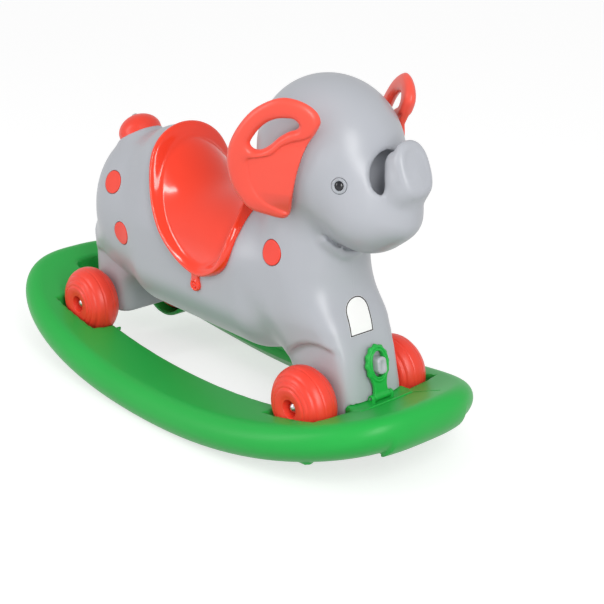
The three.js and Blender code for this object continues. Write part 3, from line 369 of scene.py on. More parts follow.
def shell_faces(faces: list[tuple[int, ...]], rims: list[list[int]], count: int) -> list[tuple[int, ...]]:
    """Close a sheet of faces into a shell whose second skin repeats the first one's points.

    Args:
        faces: The sheet's faces.
        rims: Its edges, as point numbers in order.
        count: Points in the sheet.

    Returns:
        The sheet, the same faces turned over on the second skin, and a wall along each rim.
    """
    below = [tuple(count + k for k in face[::-1]) for face in faces]
    walls = [(a, b, b + count, a + count) for rim in rims for a, b in zip(rim, rim[1:] + rim[:1])]
    return [*faces, *below, *walls]


def moulding_in(box: tuple[Vector, Vector], name: str, shape: Field, cell: float,
                sharp_degrees: float = CRISP_DEGREES) -> Piece:
    """Cover a field within the box of the CAD node that it dresses.

    Args:
        box: The CAD node's lowest and highest corners, in metres.
        name: The piece's name.
        shape: The field.
        cell: Side of a grid cell.
        sharp_degrees: Edges that turn by more than this stay crisp.

    Returns:
        The moulding.
    """
    low, high = box
    pad = cell * 3.0
    points, faces = net_of(shape, np.array(low) / MM - pad, np.array(high) / MM + pad, cell)
    return mesh_piece(name, points, faces, sharp_degrees)


def mend(obj: Piece, sharp_degrees: float = CRISP_DEGREES) -> None:
    """Merge an object's doubled points, drop what collapses and turn its faces outwards."""
    bm = bmesh.new()
    bm.from_mesh(obj.data)
    bmesh.ops.remove_doubles(bm, verts=bm.verts, dist=WELD)
    bmesh.ops.dissolve_degenerate(bm, dist=WELD / 10.0, edges=bm.edges)
    bmesh.ops.recalc_face_normals(bm, faces=bm.faces)
    bm.to_mesh(obj.data)
    bm.free()
    crisp(obj, sharp_degrees)


def cut(obj: Piece, cutters: list[Piece]) -> None:
    """Cut pieces out of an object and delete the cutters."""
    for cutter in cutters:
        modifier = obj.modifiers.new("cut", "BOOLEAN")
        modifier.object = cutter
        modifier.operation = "DIFFERENCE"
        modifier.solver = "EXACT"
    apply_modifiers(obj)
    for cutter in cutters:
        bpy.data.objects.remove(cutter, do_unlink=True)
    crisp(obj)


def apply_modifiers(obj: Piece) -> None:
    """Turn an object with modifiers into a plain mesh."""
    bpy.context.view_layer.update()
    evaluated = obj.evaluated_get(bpy.context.evaluated_depsgraph_get())
    result = bpy.data.meshes.new_from_object(evaluated)
    obj.modifiers.clear()
    obj.data = result


# Finishes


def linear(colour: str) -> tuple[float, float, float, float]:
    """Turn an sRGB hex colour into the linear values that Blender works in."""
    channels = [int(colour[k:k + 2], 16) / 255.0 for k in (0, 2, 4)]
    values = [c / 12.92 if c <= 0.04045 else ((c + 0.055) / 1.055) ** 2.4 for c in channels]
    return (*values, 1.0)


def add_node(tree: Tree, kind: str, settings: dict | None = None, links: dict | None = None) -> Node:
    """Add a node with its settings and links.

    Args:
        tree: The node tree.
        kind: The node's type.
        settings: Property names, or input names or numbers, and their values.
        links: Input names or numbers and the output sockets that feed them.

    Returns:
        The new node.
    """
    node = tree.nodes.new(kind)
    for name, value in (settings or {}).items():
        if isinstance(name, int) or name in node.inputs:
            node.inputs[name].default_value = value
        else:
            setattr(node, name, value)
    for name, socket in (links or {}).items():
        tree.links.new(socket, node.inputs[name])
    return node


@dataclass(frozen=True)
class Finish:
    """A finish whose colour and gloss wander a little over the piece."""

    name: str
    colour: str
    second_colour: str
    roughness: float

    def material(self) -> bpy.types.Material:
        """Build the node material, once.

        Returns:
            The material.
        """
        if self.name in bpy.data.materials:
            return bpy.data.materials[self.name]
        material = bpy.data.materials.new(self.name)
        material.use_nodes = True
        tree = material.node_tree
        place = add_node(tree, "ShaderNodeTexCoord").outputs["Object"]
        self.dress(tree, tree.nodes["Principled BSDF"], place)
        return material

    def dress(self, tree: Tree, shader: Node, place: Socket) -> None:
        """Set up the shader, each kind of finish in its own way.

        Args:
            tree: The material's tree.
            shader: Its shader.
            place: Object coordinates.
        """
        raise NotImplementedError

    def wander(self, tree: Tree, shader: Node, noise: Socket, spread: float) -> None:
        """Let a noise move the colour and the roughness.

        Args:
            tree: The material's tree.
            shader: Its shader.
            noise: The noise, from 0 to 1.
            spread: Share by which the roughness rises and falls.
        """
        tint = add_node(tree, "ShaderNodeMix", {"data_type": "RGBA", 6: linear(self.colour),
                                                7: linear(self.second_colour)}, {"Factor": noise})
        tree.links.new(tint.outputs[2], shader.inputs["Base Color"])
        low, high = self.roughness * (1.0 - spread), self.roughness * (1.0 + spread)
        gloss = add_node(tree, "ShaderNodeMapRange", {"To Min": low, "To Max": high}, {"Value": noise})
        tree.links.new(gloss.outputs["Result"], shader.inputs["Roughness"])


@dataclass(frozen=True)
class MouldedPlastic(Finish):
    """A moulded plastic with faint flow marks and the fine texture of its mould."""

    flow_mm: float = 90.0
    flow_detail: float = 3.0
    gloss_spread: float = 0.12
    texture_mm: float = 1.6
    texture_detail: float = 2.0
    texture_depth_mm: float = 0.05
    texture_strength: float = 0.35
    coat: float = 0.0
    coat_roughness: float = 0.06
    parting_mm: float = 0.0
    parting_rise_mm: float = 0.2
    parting_strength: float = 0.5
    specular: float = 0.5
    refraction: float = 1.49

    def dress(self, tree: Tree, shader: Node, place: Socket) -> None:
        """Set up the shader, as Finish.dress says."""
        flow = add_node(tree, "ShaderNodeTexNoise",
                        {"Scale": 1.0 / (self.flow_mm * MM), "Detail": self.flow_detail}, {"Vector": place})
        self.wander(tree, shader, flow.outputs["Fac"], self.gloss_spread)
        grain = add_node(tree, "ShaderNodeTexNoise",
                         {"Scale": 1.0 / (self.texture_mm * MM), "Detail": self.texture_detail},
                         {"Vector": place})
        bump = add_node(tree, "ShaderNodeBump",
                        {"Strength": self.texture_strength, "Distance": self.texture_depth_mm * MM},
                        {"Height": grain.outputs["Fac"]})
        if self.parting_mm:
            bump = self.parting_line(tree, place, bump)
        tree.links.new(bump.outputs["Normal"], shader.inputs["Normal"])
        shader.inputs["IOR"].default_value = self.refraction
        shader.inputs["Specular IOR Level"].default_value = self.specular
        shader.inputs["Coat Weight"].default_value = self.coat
        shader.inputs["Coat Roughness"].default_value = self.coat_roughness

    def parting_line(self, tree: Tree, place: Socket, below: Node) -> Node:
        """Raise the thin line that the mould's two halves leave along the middle of a piece.

        Args:
            tree: The material's tree.
            place: Object coordinates.
            below: The bump node of the finer texture.

        Returns:
            The bump node that holds both.
        """
        across = add_node(tree, "ShaderNodeSeparateXYZ", {}, {"Vector": place}).outputs["Y"]
        width = add_node(tree, "ShaderNodeMath", {"operation": "ABSOLUTE"}, {0: across}).outputs[0]
        ridge = add_node(tree, "ShaderNodeMapRange",
                         {"From Max": self.parting_mm * MM, "To Min": 1.0, "To Max": 0.0,
                          "interpolation_type": "SMOOTHSTEP"}, {"Value": width})
        return add_node(tree, "ShaderNodeBump",
                        {"Strength": self.parting_strength, "Distance": self.parting_rise_mm * MM},
                        {"Height": ridge.outputs["Result"], "Normal": below.outputs["Normal"]})


@dataclass(frozen=True)
class PlatedSteel(Finish):
    """Bright zinc-plated steel with a fine uneven shine."""

    grain_mm: float = 0.8
    grain_detail: float = 2.0
    gloss_spread: float = 0.2

    def dress(self, tree: Tree, shader: Node, place: Socket) -> None:
        """Set up the shader, as Finish.dress says."""
        grain = add_node(tree, "ShaderNodeTexNoise",
                         {"Scale": 1.0 / (self.grain_mm * MM), "Detail": self.grain_detail},
                         {"Vector": place})
        self.wander(tree, shader, grain.outputs["Fac"], self.gloss_spread)
        shader.inputs["Metallic"].default_value = 1.0


# Blow-moulded polyethylene: a soft wide sheen, faint clouding and the mould's parting line
BODY_GREY = MouldedPlastic("blow_moulded_polyethylene_grey", "b1b4bb", "b7bac0", 0.34, parting_mm=0.9)
# Blow-moulded polyethylene: saturated green with a satin surface
ROCKER_GREEN = MouldedPlastic("blow_moulded_polyethylene_green", "20ae45", "26b54a", 0.40, specular=0.32)
# Injection-moulded polypropylene from a polished mould: sharp, bright highlights
SADDLE_RED = MouldedPlastic("polished_polypropylene_red", "ff3818", "ff4020", 0.15, texture_depth_mm=0.01,
                            coat=0.3)
# Injection-moulded polypropylene, satin: coral where the light falls
EAR_CORAL = MouldedPlastic("injection_moulded_polypropylene_coral", "fb5443", "fc5b49", 0.36)
# Injection-moulded polypropylene, satin
WHEEL_RED = MouldedPlastic("injection_moulded_polypropylene_red", "f73f2d", "f94834", 0.36)
# Glossy moulded polystyrene: the eye ring
EYE_WHITE = MouldedPlastic("moulded_polystyrene_white", "aaaeb4", "b2b6bc", 0.2, texture_depth_mm=0.01)
# Glossy moulded polystyrene: the pupil
PUPIL_BLACK = MouldedPlastic("moulded_polystyrene_black", "1a1a1f", "202026", 0.08, texture_depth_mm=0.01)
# Printed vinyl film: flat white with a slight sheen
LABEL_WHITE = MouldedPlastic("printed_vinyl_white", "fafaf8", "fcfcfb", 0.3, texture_depth_mm=0.01)
# Printing ink on vinyl: dark grey line
LABEL_INK = MouldedPlastic("printing_ink_dark_grey", "1e1e22", "242428", 0.35, texture_depth_mm=0.01)
# Zinc-plated push caps, axles and screws
STEEL = PlatedSteel("zinc_plated_steel", "e0e1e2", "bcbec0", 0.3)


def seat(obj: Piece, finish: Finish, body: str, nodes: Iterable[str] = ()) -> None:
    """Dress a piece, let it ride on a body and hide the CAD nodes that it stands for.

    Args:
        obj: The piece.
        finish: Its material.
        body: The body that it rides on.
        nodes: CAD nodes that it replaces.
    """
    obj.data.materials.clear()
    obj.data.materials.append(finish.material())
    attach(obj, body)
    if nodes:
        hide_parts(*nodes)
    LOG.info("%s: %d faces on %s", obj.name, len(obj.data.polygons), body)


# Places and turned pieces


@dataclass(frozen=True)
class Place:
    """A point of a surface, with the directions across it, up it and out of it."""

    point: Array
    across: Array
    up: Array
    out: Array

    @classmethod
    def facing(cls, point: Array, out: Array, upward: Iterable[float] = (0.0, 0.0, 1.0)) -> "Place":
        """Make a place from its outward direction and roughly what is up."""
        out = np.array(out, float) / np.linalg.norm(out)
        up = np.array(upward, float) - (np.array(upward, float) @ out) * out
        up /= np.linalg.norm(up)
        return cls(np.array(point, float), np.cross(up, out), up, out)

    def world(self, local: Array) -> Array:
        """Points given across, up and out, in the frame's axes."""
        return self.point + local @ np.stack([self.across, self.up, self.out])

    def net(self, name: str, shape: Field, low: Triple, high: Triple, cell: float = FINE_CELL) -> Piece:
        """Cover a field given in this place's own directions.

        Args:
            name: The piece's name.
            shape: The field.
            low: Lowest corner, across, up and out.
            high: Highest corner.
            cell: Side of a grid cell.

        Returns:
            The piece.
        """
        points, faces = net_of(shape, np.array(low, float), np.array(high, float), cell)
        return mesh_piece(name, self.world(points), faces)


class Turnery:
    """Geometry Nodes that turn a profile into a round piece and set one at each place."""

    def __init__(self) -> None:
        """Build the tree."""
        tree = bpy.data.node_groups.new("turned_pieces", "GeometryNodeTree")
        sockets = {"Geometry": "Geometry", "Profile": "Object", "Rows": "Int", "Sides": "Int",
                   "Finish": "Material"}
        for name, kind in sockets.items():
            tree.interface.new_socket(name=name, in_out="INPUT", socket_type=f"NodeSocket{kind}")
        tree.interface.new_socket(name="Geometry", in_out="OUTPUT", socket_type="NodeSocketGeometry")
        add = partial(add_node, tree)
        given = add("NodeGroupInput").outputs
        profile = add("GeometryNodeObjectInfo", {}, {"Object": given["Profile"]})
        columns = add("ShaderNodeMath", {"operation": "ADD", 1: 1.0}, {0: given["Sides"]})
        grid = add("GeometryNodeMeshGrid", {},
                   {"Vertices X": columns.outputs[0], "Vertices Y": given["Rows"]})
        index = add("GeometryNodeInputIndex").outputs[0]
        row = add("ShaderNodeMath", {"operation": "MODULO"}, {0: index, 1: given["Rows"]})
        share = add("ShaderNodeMath", {"operation": "DIVIDE"}, {0: index, 1: given["Rows"]})
        column = add("ShaderNodeMath", {"operation": "FLOOR"}, {0: share.outputs[0]})
        step = add("ShaderNodeMath", {"operation": "DIVIDE", 0: 2.0 * math.pi}, {1: given["Sides"]})
        angle = add("ShaderNodeMath", {"operation": "MULTIPLY"}, {0: column.outputs[0], 1: step.outputs[0]})
        spot = add("GeometryNodeInputPosition").outputs[0]
        sample = add("GeometryNodeSampleIndex", {"data_type": "FLOAT_VECTOR", "domain": "POINT"},
                     {"Geometry": profile.outputs["Geometry"], "Value": spot, "Index": row.outputs[0]})
        parts = add("ShaderNodeSeparateXYZ", {}, {0: sample.outputs[0]}).outputs
        sides = {}
        for axis, wave in (("X", "COSINE"), ("Y", "SINE")):
            turn = add("ShaderNodeMath", {"operation": wave}, {0: angle.outputs[0]})
            part = add("ShaderNodeMath", {"operation": "MULTIPLY"}, {0: turn.outputs[0], 1: parts["X"]})
            sides[axis] = part.outputs[0]
        place = add("ShaderNodeCombineXYZ", {}, {**sides, "Z": parts["Y"]})
        wrapped = add("GeometryNodeSetPosition", {},
                      {"Geometry": grid.outputs["Mesh"], "Position": place.outputs[0]})
        closed = add("GeometryNodeMergeByDistance", {"Distance": WELD}, {"Geometry": wrapped.outputs[0]})
        outward = add("GeometryNodeInputNamedAttribute", {"data_type": "FLOAT_VECTOR", "Name": "axis"})
        aim = add("FunctionNodeAlignRotationToVector", {"axis": "Z"},
                  {"Vector": outward.outputs["Attribute"]})
        copies = add("GeometryNodeInstanceOnPoints", {},
                     {"Points": given["Geometry"], "Instance": closed.outputs[0],
                      "Rotation": aim.outputs[0]})
        real = add("GeometryNodeRealizeInstances", {}, {0: copies.outputs[0]})
        dressed = add("GeometryNodeSetMaterial", {},
                      {"Geometry": real.outputs[0], "Material": given["Finish"]})
        add("NodeGroupOutput", {}, {"Geometry": dressed.outputs[0]})
        self.tree = tree

    def make(self, name: str, profile: Profile, places: list[Place], sides: int = 64,
             finish: Finish = STEEL, sharp_degrees: float = 40.0) -> Piece:
        """Turn a profile and set a copy at each place.

        Args:
            name: The piece's name.
            profile: Radius and height in millimetres, from the axis below to the axis above, or a ring.
            places: Where the copies go; each one's axis points out of its place.
            sides: Faces round the axis.
            finish: The material that the tree sets.
            sharp_degrees: Edges that turn by more than this stay crisp.

        Returns:
            One plain mesh object with every copy.
        """
        outline = bpy.data.meshes.new("profile")
        outline.from_pydata([(r * MM, h * MM, 0.0) for r, h in profile], [], [])
        guide = linked("profile", outline)
        mesh = bpy.data.meshes.new(name)
        mesh.from_pydata([(p.point * MM).tolist() for p in places], [], [])
        axes = mesh.attributes.new("axis", "FLOAT_VECTOR", "POINT")
        for entry, place in zip(axes.data, places):
            entry.vector = place.out
        obj = linked(name, mesh)
        modifier = obj.modifiers.new("turning", "NODES")
        modifier.node_group = self.tree
        values = {"Profile": guide, "Rows": len(profile), "Sides": sides, "Finish": finish.material()}
        for item in self.tree.interface.items_tree:
            if item.in_out == "INPUT" and item.name in values:
                modifier[item.identifier] = values[item.name]
        apply_modifiers(obj)
        bpy.data.objects.remove(guide, do_unlink=True)
        mend(obj, sharp_degrees)
        return obj


def arc(centre: Pair, radius: float, start: float, end: float,
        steps: int = 6) -> Profile:
    """Points of a profile round an arc.

    Args:
        centre: Radius and height of the arc's centre.
        radius: The arc's radius.
        start: First angle in degrees, from outwards towards up.
        end: Last angle.
        steps: Parts that the arc is divided into.

    Returns:
        Pairs of radius and height.
    """
    turns = [math.radians(start + (end - start) * k / steps) for k in range(steps + 1)]
    return [(centre[0] + radius * math.cos(t), centre[1] + radius * math.sin(t)) for t in turns]


@dataclass
class Chassis:
    """What the rocker and the body both follow: the wheels, their places and the rocker's curve."""

    turnery: Turnery
    wheel_radius: float = 50.0
    wheel_half: float = 27.0
    face_radius: float = 21.0
    hub_radius: float = 12.0
    hub_depth: float = 16.0
    dish_depth: float = 2.2
    groove_radii: tuple[float, ...] = (28.0, 35.0, 42.5)
    groove_depth: float = 1.0
    groove_width: float = 1.5
    tread_lines: Pair = (-7.0, 7.0)
    tread_line_width: float = 1.0
    tread_line_depth: float = 0.6
    tread_from: float = 46.0
    grooved_from: float = 26.0
    flank_end: float = 83.0
    flank_points: int = 174
    dish_steps: tuple[Pair, ...] = ((23.0, 0.3), (19.0, 0.7), (15.4, 1.3))
    hub_edge: float = 1.0
    bore: float = 4.4
    cap_bore: float = 4.3
    cap_floor: float = 3.3
    cap_brim: float = 8.8
    cap_brim_edge: float = 0.5
    cap_wall: tuple[Pair, ...] = ((7.3, 1.2), (7.1, 5.2))
    cap_dome_z: float = 1.5
    cap_dome_radius: float = 8.0
    washer_radius: float = 11.0
    washer_thickness: float = 1.2
    washer_edge: float = 0.2
    washer_gap: float = 0.3
    leg_half_width: float = 48.9
    arch_radius: float = 71.0
    curve_radius: float = 1190.0
    cap_out: float = 11.4
    front_x: float = field(init=False)
    rear_x: float = field(init=False)
    wheel_y: float = field(init=False)
    axle_z: float = field(init=False)

    def __post_init__(self) -> None:
        """Read the wheels' places from the frame."""
        front, rear = (sum(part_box(f"wheel_{end}_left"), Vector()) / 2.0 / MM for end in ("front", "rear"))
        self.front_x, self.wheel_y, self.axle_z = front
        self.rear_x = rear.x

    def centres(self) -> list[tuple[str, Side, Array]]:
        """End, side and centre of each wheel."""
        return [(end, side, np.array([x, side.value * self.wheel_y, self.axle_z]))
                for end, x in (("front", self.front_x), ("rear", self.rear_x)) for side in Side]

    def rise(self, x: Array) -> Array:
        """Height of the rocker's curve above the floor at X."""
        return self.curve_radius - np.sqrt(self.curve_radius ** 2 - np.square(x))

    def wheel_profile(self) -> Profile:
        """Half an oval tyre: ring grooves, two fine lines on its tread and a deep hub on its outer side."""
        turns = np.radians(np.linspace(-90.0, self.flank_end, self.flank_points))
        reach = self.wheel_radius - self.face_radius
        r = self.face_radius + reach * np.cos(turns)
        h = self.wheel_half * np.sin(turns)
        out = np.stack([np.cos(turns) / reach, np.sin(turns) / self.wheel_half], axis=1)
        out /= np.linalg.norm(out, axis=1, keepdims=True)
        rings = sum(np.exp(-((r - ring) / self.groove_width) ** 2) for ring in self.groove_radii)
        tread = sum(np.exp(-((h - line) / self.tread_line_width) ** 2) for line in self.tread_lines)
        depth = self.groove_depth * rings + self.tread_line_depth * tread * (r > self.tread_from)
        depth = depth * (r > self.grooved_from)
        flank = [(float(a), float(b)) for a, b in np.stack([r, h], axis=1) - out * depth[:, None]]
        half, edge = self.wheel_half, self.hub_edge
        dish = [(radius, half - drop) for radius, drop in self.dish_steps]
        inner = arc((self.hub_radius + edge, half - self.dish_depth - edge), edge, 70.0, 180.0)
        floor = half - self.hub_depth
        return [(self.bore, -half), *flank, *dish, *inner, (self.hub_radius, floor), (self.bore, floor),
                (self.bore, -half)]

    def cap_profile(self) -> Profile:
        """A push cap: a thin brim under a dome, bored for the axle's end."""
        bore, floor, brim, edge = self.cap_bore, self.cap_floor, self.cap_brim, self.cap_brim_edge
        rim = arc((brim, edge), edge, -90.0, 90.0, 4)
        dome = arc((0.0, self.cap_dome_z), self.cap_dome_radius, 35.0, 90.0, 10)
        return [(bore, 0.0), (brim, 0.0), *rim, *self.cap_wall, *dome, (0.0, floor), (bore, floor),
                (bore, 0.0)]

    def washer_profile(self) -> Profile:
        """A flat washer with a broken outer edge."""
        bore, radius, top, edge = self.cap_bore, self.washer_radius, self.washer_thickness, self.washer_edge
        return [(bore, 0.0), (radius - edge, 0.0), (radius, edge), (radius, top - edge),
                (radius - edge, top), (bore, top), (bore, 0.0)]

    def build(self) -> None:
        """Make the wheels, their push caps and washers."""
        sides = {}
        for end, side, centre in self.centres():
            out = np.array([0.0, side.value, 0.0])
            wheel = self.turnery.make(f"{end}_{side.word}_tyre", self.wheel_profile(),
                                      [Place.facing(centre, out)], 96, WHEEL_RED, CRISP_DEGREES)
            seat(wheel, WHEEL_RED, f"{end}_{side.word}_wheel", [f"wheel_{end}_{side.word}"])
            sides[end, side] = (centre, out)
        wheels = [f"{end}_{side.word}" for end, side in sides]
        caps = [Place.facing(centre + out * self.cap_out, out) for centre, out in sides.values()]
        cap = self.turnery.make("axle_push_caps", self.cap_profile(), caps, 40)
        seat(cap, STEEL, "elephant", [f"axle_cap_{wheel}" for wheel in wheels])
        washer_y = self.leg_half_width + self.washer_gap
        washers = [Place.facing(centre * (1.0, 0.0, 1.0) + out * washer_y, out)
                   for centre, out in sides.values()]
        washer = self.turnery.make("axle_washers", self.washer_profile(), washers, 40)
        seat(washer, STEEL, "elephant", [f"washer_{wheel}" for wheel in wheels])


@dataclass
class Elephant:
    """The grey blow-moulded body as one field, and the small pieces that are let into it."""

    chassis: Chassis
    cell: float = 3.2
    rump: Vector = Vector((-180.0, 0.0, 225.0))
    rump_half: Vector = Vector((77.0, 77.0, 110.0))
    belly: Vector = Vector((5.0, 0.0, 203.0))
    belly_half: Vector = Vector((175.0, 80.0, 98.0))
    belly_edge: float = 72.0
    crest: Vector = Vector((-95.0, 0.0, 316.0))
    crest_half: Vector = Vector((50.0, 56.0, 46.0))
    chest: Vector = Vector((182.0, 0.0, 235.0))
    chest_half: Vector = Vector((68.0, 71.0, 90.0))
    neck: Vector = Vector((182.0, 0.0, 310.0))
    neck_radius: float = 58.0
    head: Vector = Vector((208.0, 0.0, 389.0))
    head_half: Vector = Vector((101.0, 83.0, 95.0))
    muzzle: Vector = Vector((282.0, 0.0, 337.0))
    muzzle_half: Vector = Vector((60.0, 60.0, 58.0))
    trunk_base: Vector = Vector((325.0, 0.0, 335.0))
    trunk_base_radius: float = 30.0
    trunk_top: Vector = Vector((337.0, 0.0, 378.0))
    trunk_top_radius: float = 24.0
    tip: Vector = Vector((346.0, 0.0, 395.0))
    tip_half: Vector = Vector((11.0, 24.5, 34.0))
    tip_exponent: float = 2.4
    tip_tilt: float = 22.0
    tip_rim: float = 7.2
    tip_root: tuple[float, float, float, float, float] = (-6.5, -4.0, 13.5, 24.0, 29.5)
    slot_at: Vector = Vector((-48.0, 0.0, -15.5))
    slot_half: Vector = Vector((33.0, 31.5, 48.0))
    slot_edge: float = 9.0
    front_leg: Vector = Vector((234.5, 0.0, 130.0))
    front_leg_half: Vector = Vector((55.0, 55.0, 72.0))
    front_leg_lean: float = 12.5
    front_leg_edge: float = 27.0
    front_leg_bow: float = 0.0034
    rear_leg: Vector = Vector((-224.0, 0.0, 130.0))
    rear_leg_half: Vector = Vector((38.0, 52.0, 72.0))
    rear_leg_edge: float = 24.0
    sole_z: float = 66.0
    toe_x: float = 290.6
    toe_z: float = 88.8
    tail: Vector = Vector((-195.0, 0.0, 331.0))
    tail_radius: float = 29.0
    tail_length: float = 40.0
    tail_lean: float = 31.0
    tail_cut_share: float = 1.6
    body_blend: float = 34.0
    head_blend: float = 26.0
    trunk_blend: float = 16.0
    leg_blend: float = 26.0
    chest_blend: float = 54.0
    crest_blend: float = 60.0
    lip: tuple[Triple, ...] = (
        (235.6, 33.6, 289.0), (238.2, 28.1, 281.8), (240.9, 21.4, 275.3), (243.5, 12.7, 268.6),
        (244.0, 0.0, 265.0))
    lip_radius: float = 7.0
    lip_blend: float = 7.0
    fold: tuple[Triple, ...] = (
        (241.4, 37.6, 296.4), (245.3, 27.9, 287.2), (246.8, 15.4, 278.4), (247.4, 0.0, 272.0))
    fold_radius: float = 2.4
    fold_blend: float = 3.5
    face_sink: float = 1.5
    face_edge: Pair = (6.4, 9.4)
    face_flat: float = 0.3
    edge: float = 5.0
    arch_edge: float = 7.0
    ray_length: float = 340.0
    ray_halvings: int = 26
    under_saddle: Callable[[Array, Array], Array] | None = None
    eye: Pair = (286.0, 373.0)
    eye_radius: float = 9.5
    pupil_radius: float = 5.5
    pupil_gap: float = 0.35
    pupil_dome: Pair = (-6.1, 8.2)
    pupil_edge_z: float = -0.2
    eye_seat: float = 5.0
    eye_rim_edge: float = 0.8
    eye_rim_z: float = 0.1
    eye_bead: Pair = (7.4, 0.5)
    eye_bead_radius: float = 0.9
    eye_lip: Pair = (6.3, 0.55)
    eye_bore_z: float = 0.3
    eye_recess: Pair = (10.1, 5.3)
    spots: tuple[tuple[str, float, float], ...] = (
        ("rump", -172.0, 277.0), ("thigh", -144.0, 210.0), ("shoulder", 175.0, 264.0))
    spot_radius: float = 16.3
    spot_gap: float = 0.9
    spot_depth: float = 2.4
    spot_rise: float = 0.8
    spot_edge: float = 0.9
    spot_fall: float = 0.05
    spot_recess: float = 4.0
    cutter_rise: float = 9.0

    def mass(self, p: Array) -> Array:
        """The rounded masses run together, before any cut."""
        d = ellipsoid(p, self.rump, self.rump_half)
        d = blend(d, rounded_block(p - np.array(self.belly), self.belly_half, self.belly_edge),
                  self.body_blend)
        d = blend(d, ellipsoid(p, self.crest, self.crest_half), self.crest_blend)
        d = blend(d, ellipsoid(p, self.chest, self.chest_half), self.body_blend)
        q = p - np.array(self.front_leg)
        q[..., 0] += q[..., 2] * math.tan(math.radians(self.front_leg_lean))
        q[..., 0] += self.front_leg_bow * np.maximum(q[..., 2], 0.0) ** 2
        d = blend(d, rounded_block(q, self.front_leg_half, self.front_leg_edge), self.chest_blend)
        d = blend(d, rounded_block(p - np.array(self.rear_leg), self.rear_leg_half, self.rear_leg_edge),
                  self.leg_blend)
        d = blend(d, np.linalg.norm(p - np.array(self.neck), axis=-1) - self.neck_radius, self.body_blend)
        d = blend(d, ellipsoid(p, self.head, self.head_half), self.head_blend)
        d = blend(d, ellipsoid(p, self.muzzle, self.muzzle_half), self.head_blend)
        d = blend(d, round_cone(p, self.trunk_base, self.trunk_base_radius, self.trunk_top,
                                self.trunk_top_radius), self.trunk_blend)
        out, up, *half = self.tip_root
        d = blend(d, rounded_block(self.tip_frame(p) - (out, 0.0, up), half, half[0] - 0.5),
                  self.trunk_blend)
        lean = math.radians(self.tail_lean)
        base = self.tail + Vector((math.sin(lean), 0.0, -math.cos(lean))) * self.tail_length
        return blend(d, round_cone(p, base, self.tail_radius, self.tail, self.tail_radius), self.trunk_blend)

    def tip_frame(self, p: Array) -> Array:
        """Points seen from the trunk's tip: out of its face, across and up it."""
        tilt = math.radians(self.tip_tilt)
        q = p - np.array(self.tip)
        out = q[..., 0] * math.cos(tilt) + q[..., 2] * math.sin(tilt)
        up = q[..., 2] * math.cos(tilt) - q[..., 0] * math.sin(tilt)
        return np.stack([out, q[..., 1], up], axis=-1)

    def trunk_disc(self, p: Array) -> Array:
        """The flat-faced oval disc at the end of the trunk, its face let in a little inside the rim."""
        q = self.tip_frame(p)
        power = self.tip_exponent
        across = (np.abs(q[..., 1] / self.tip_half.y) ** power
                  + np.abs(q[..., 2] / self.tip_half.z) ** power) ** (1.0 / power)
        ring = (across - 1.0) * self.tip_half.y
        let_in = self.face_sink * smooth(-ring, *self.face_edge) * (q[..., 0] > 0.0)
        half = self.tip_rim + self.face_flat
        return rounded_edge(ring, np.abs(q[..., 0] - self.tip_half.x + half) - half + let_in, self.tip_rim)

    def mouth(self, p: Array, skin: Array) -> Array:
        """Raise the lower lip and press in the fold of the mouth above it.

        Args:
            p: The points.
            skin: The field without a mouth.

        Returns:
            The field with the mouth.
        """
        mirrored = p * (1.0, 0.0, 1.0) + np.abs(p) * (0.0, 1.0, 0.0)
        skin = blend(skin, chain(mirrored, self.lip, self.lip_radius), self.lip_blend)
        return carve(skin, chain(mirrored, self.fold, self.fold_radius), self.fold_blend)

    def shape(self, p: Array) -> Array:
        """The whole grey moulding."""
        d = blend(self.mass(p), self.trunk_disc(p), self.edge)
        d = carve(d, ellipsoid(self.tip_frame(p), self.slot_at, self.slot_half), self.slot_edge)
        d = self.mouth(p, d)
        y = np.abs(p[..., 1])
        for x in (self.chassis.front_x, self.chassis.rear_x):
            round_arch = np.hypot(p[..., 0] - x, p[..., 2] - self.chassis.axle_z) - self.chassis.arch_radius
            arch = overlap(round_arch, self.chassis.leg_half_width - y, self.edge)
            d = carve(d, arch, self.arch_edge)
        d = carve(d, p[..., 2] - self.sole_z, self.edge)
        toe = np.maximum(self.toe_x - p[..., 0], p[..., 2] - self.toe_z)
        d = carve(d, toe, self.edge / 2.0)
        tail = self.tail_place()
        beyond = -((p - tail.point) @ tail.out)
        only_tail = np.linalg.norm(p - tail.point, axis=-1) - self.tail_radius * self.tail_cut_share
        d = carve(d, np.maximum(beyond, only_tail), self.edge / 2.0)
        return d if self.under_saddle is None else self.under_saddle(p, d)

    def tail_place(self) -> Place:
        """The tail's flat end."""
        lean = math.radians(self.tail_lean)
        return Place.facing(np.array(self.tail), (-math.sin(lean), 0.0, math.cos(lean)))

    def on_skin(self, x: Array, z: Array, direction: Array) -> tuple[Array, Array]:
        """Where rays from (x, 0, z) leave the body.

        Args:
            x: Start of each ray on X.
            z: Start of each ray on Z.
            direction: Unit direction of each ray.

        Returns:
            The points, and the skin's outward normals there.
        """
        start = np.stack([x, np.zeros_like(x), z], axis=-1)
        near, far = np.zeros_like(x), np.full_like(x, self.ray_length)
        for _ in range(self.ray_halvings):
            middle = (near + far) / 2.0
            out = self.mass(start + direction * middle[:, None]) > 0
            far, near = np.where(out, middle, far), np.where(out, near, middle)
        point = start + direction * far[:, None]
        return point, self.normal(point)

    def normal(self, point: Array) -> Array:
        """The skin's outward normals at points on it."""
        slope = slope_of(self.mass, point)
        return slope / np.linalg.norm(slope, axis=-1, keepdims=True)

    def flank(self, x: float, z: float, side: Side) -> Place:
        """One place on the body's flank."""
        point, normal = self.on_skin(np.array([x]), np.array([z]), np.array([[0.0, side.value, 0.0]]))
        return Place.facing(point[0], normal[0])

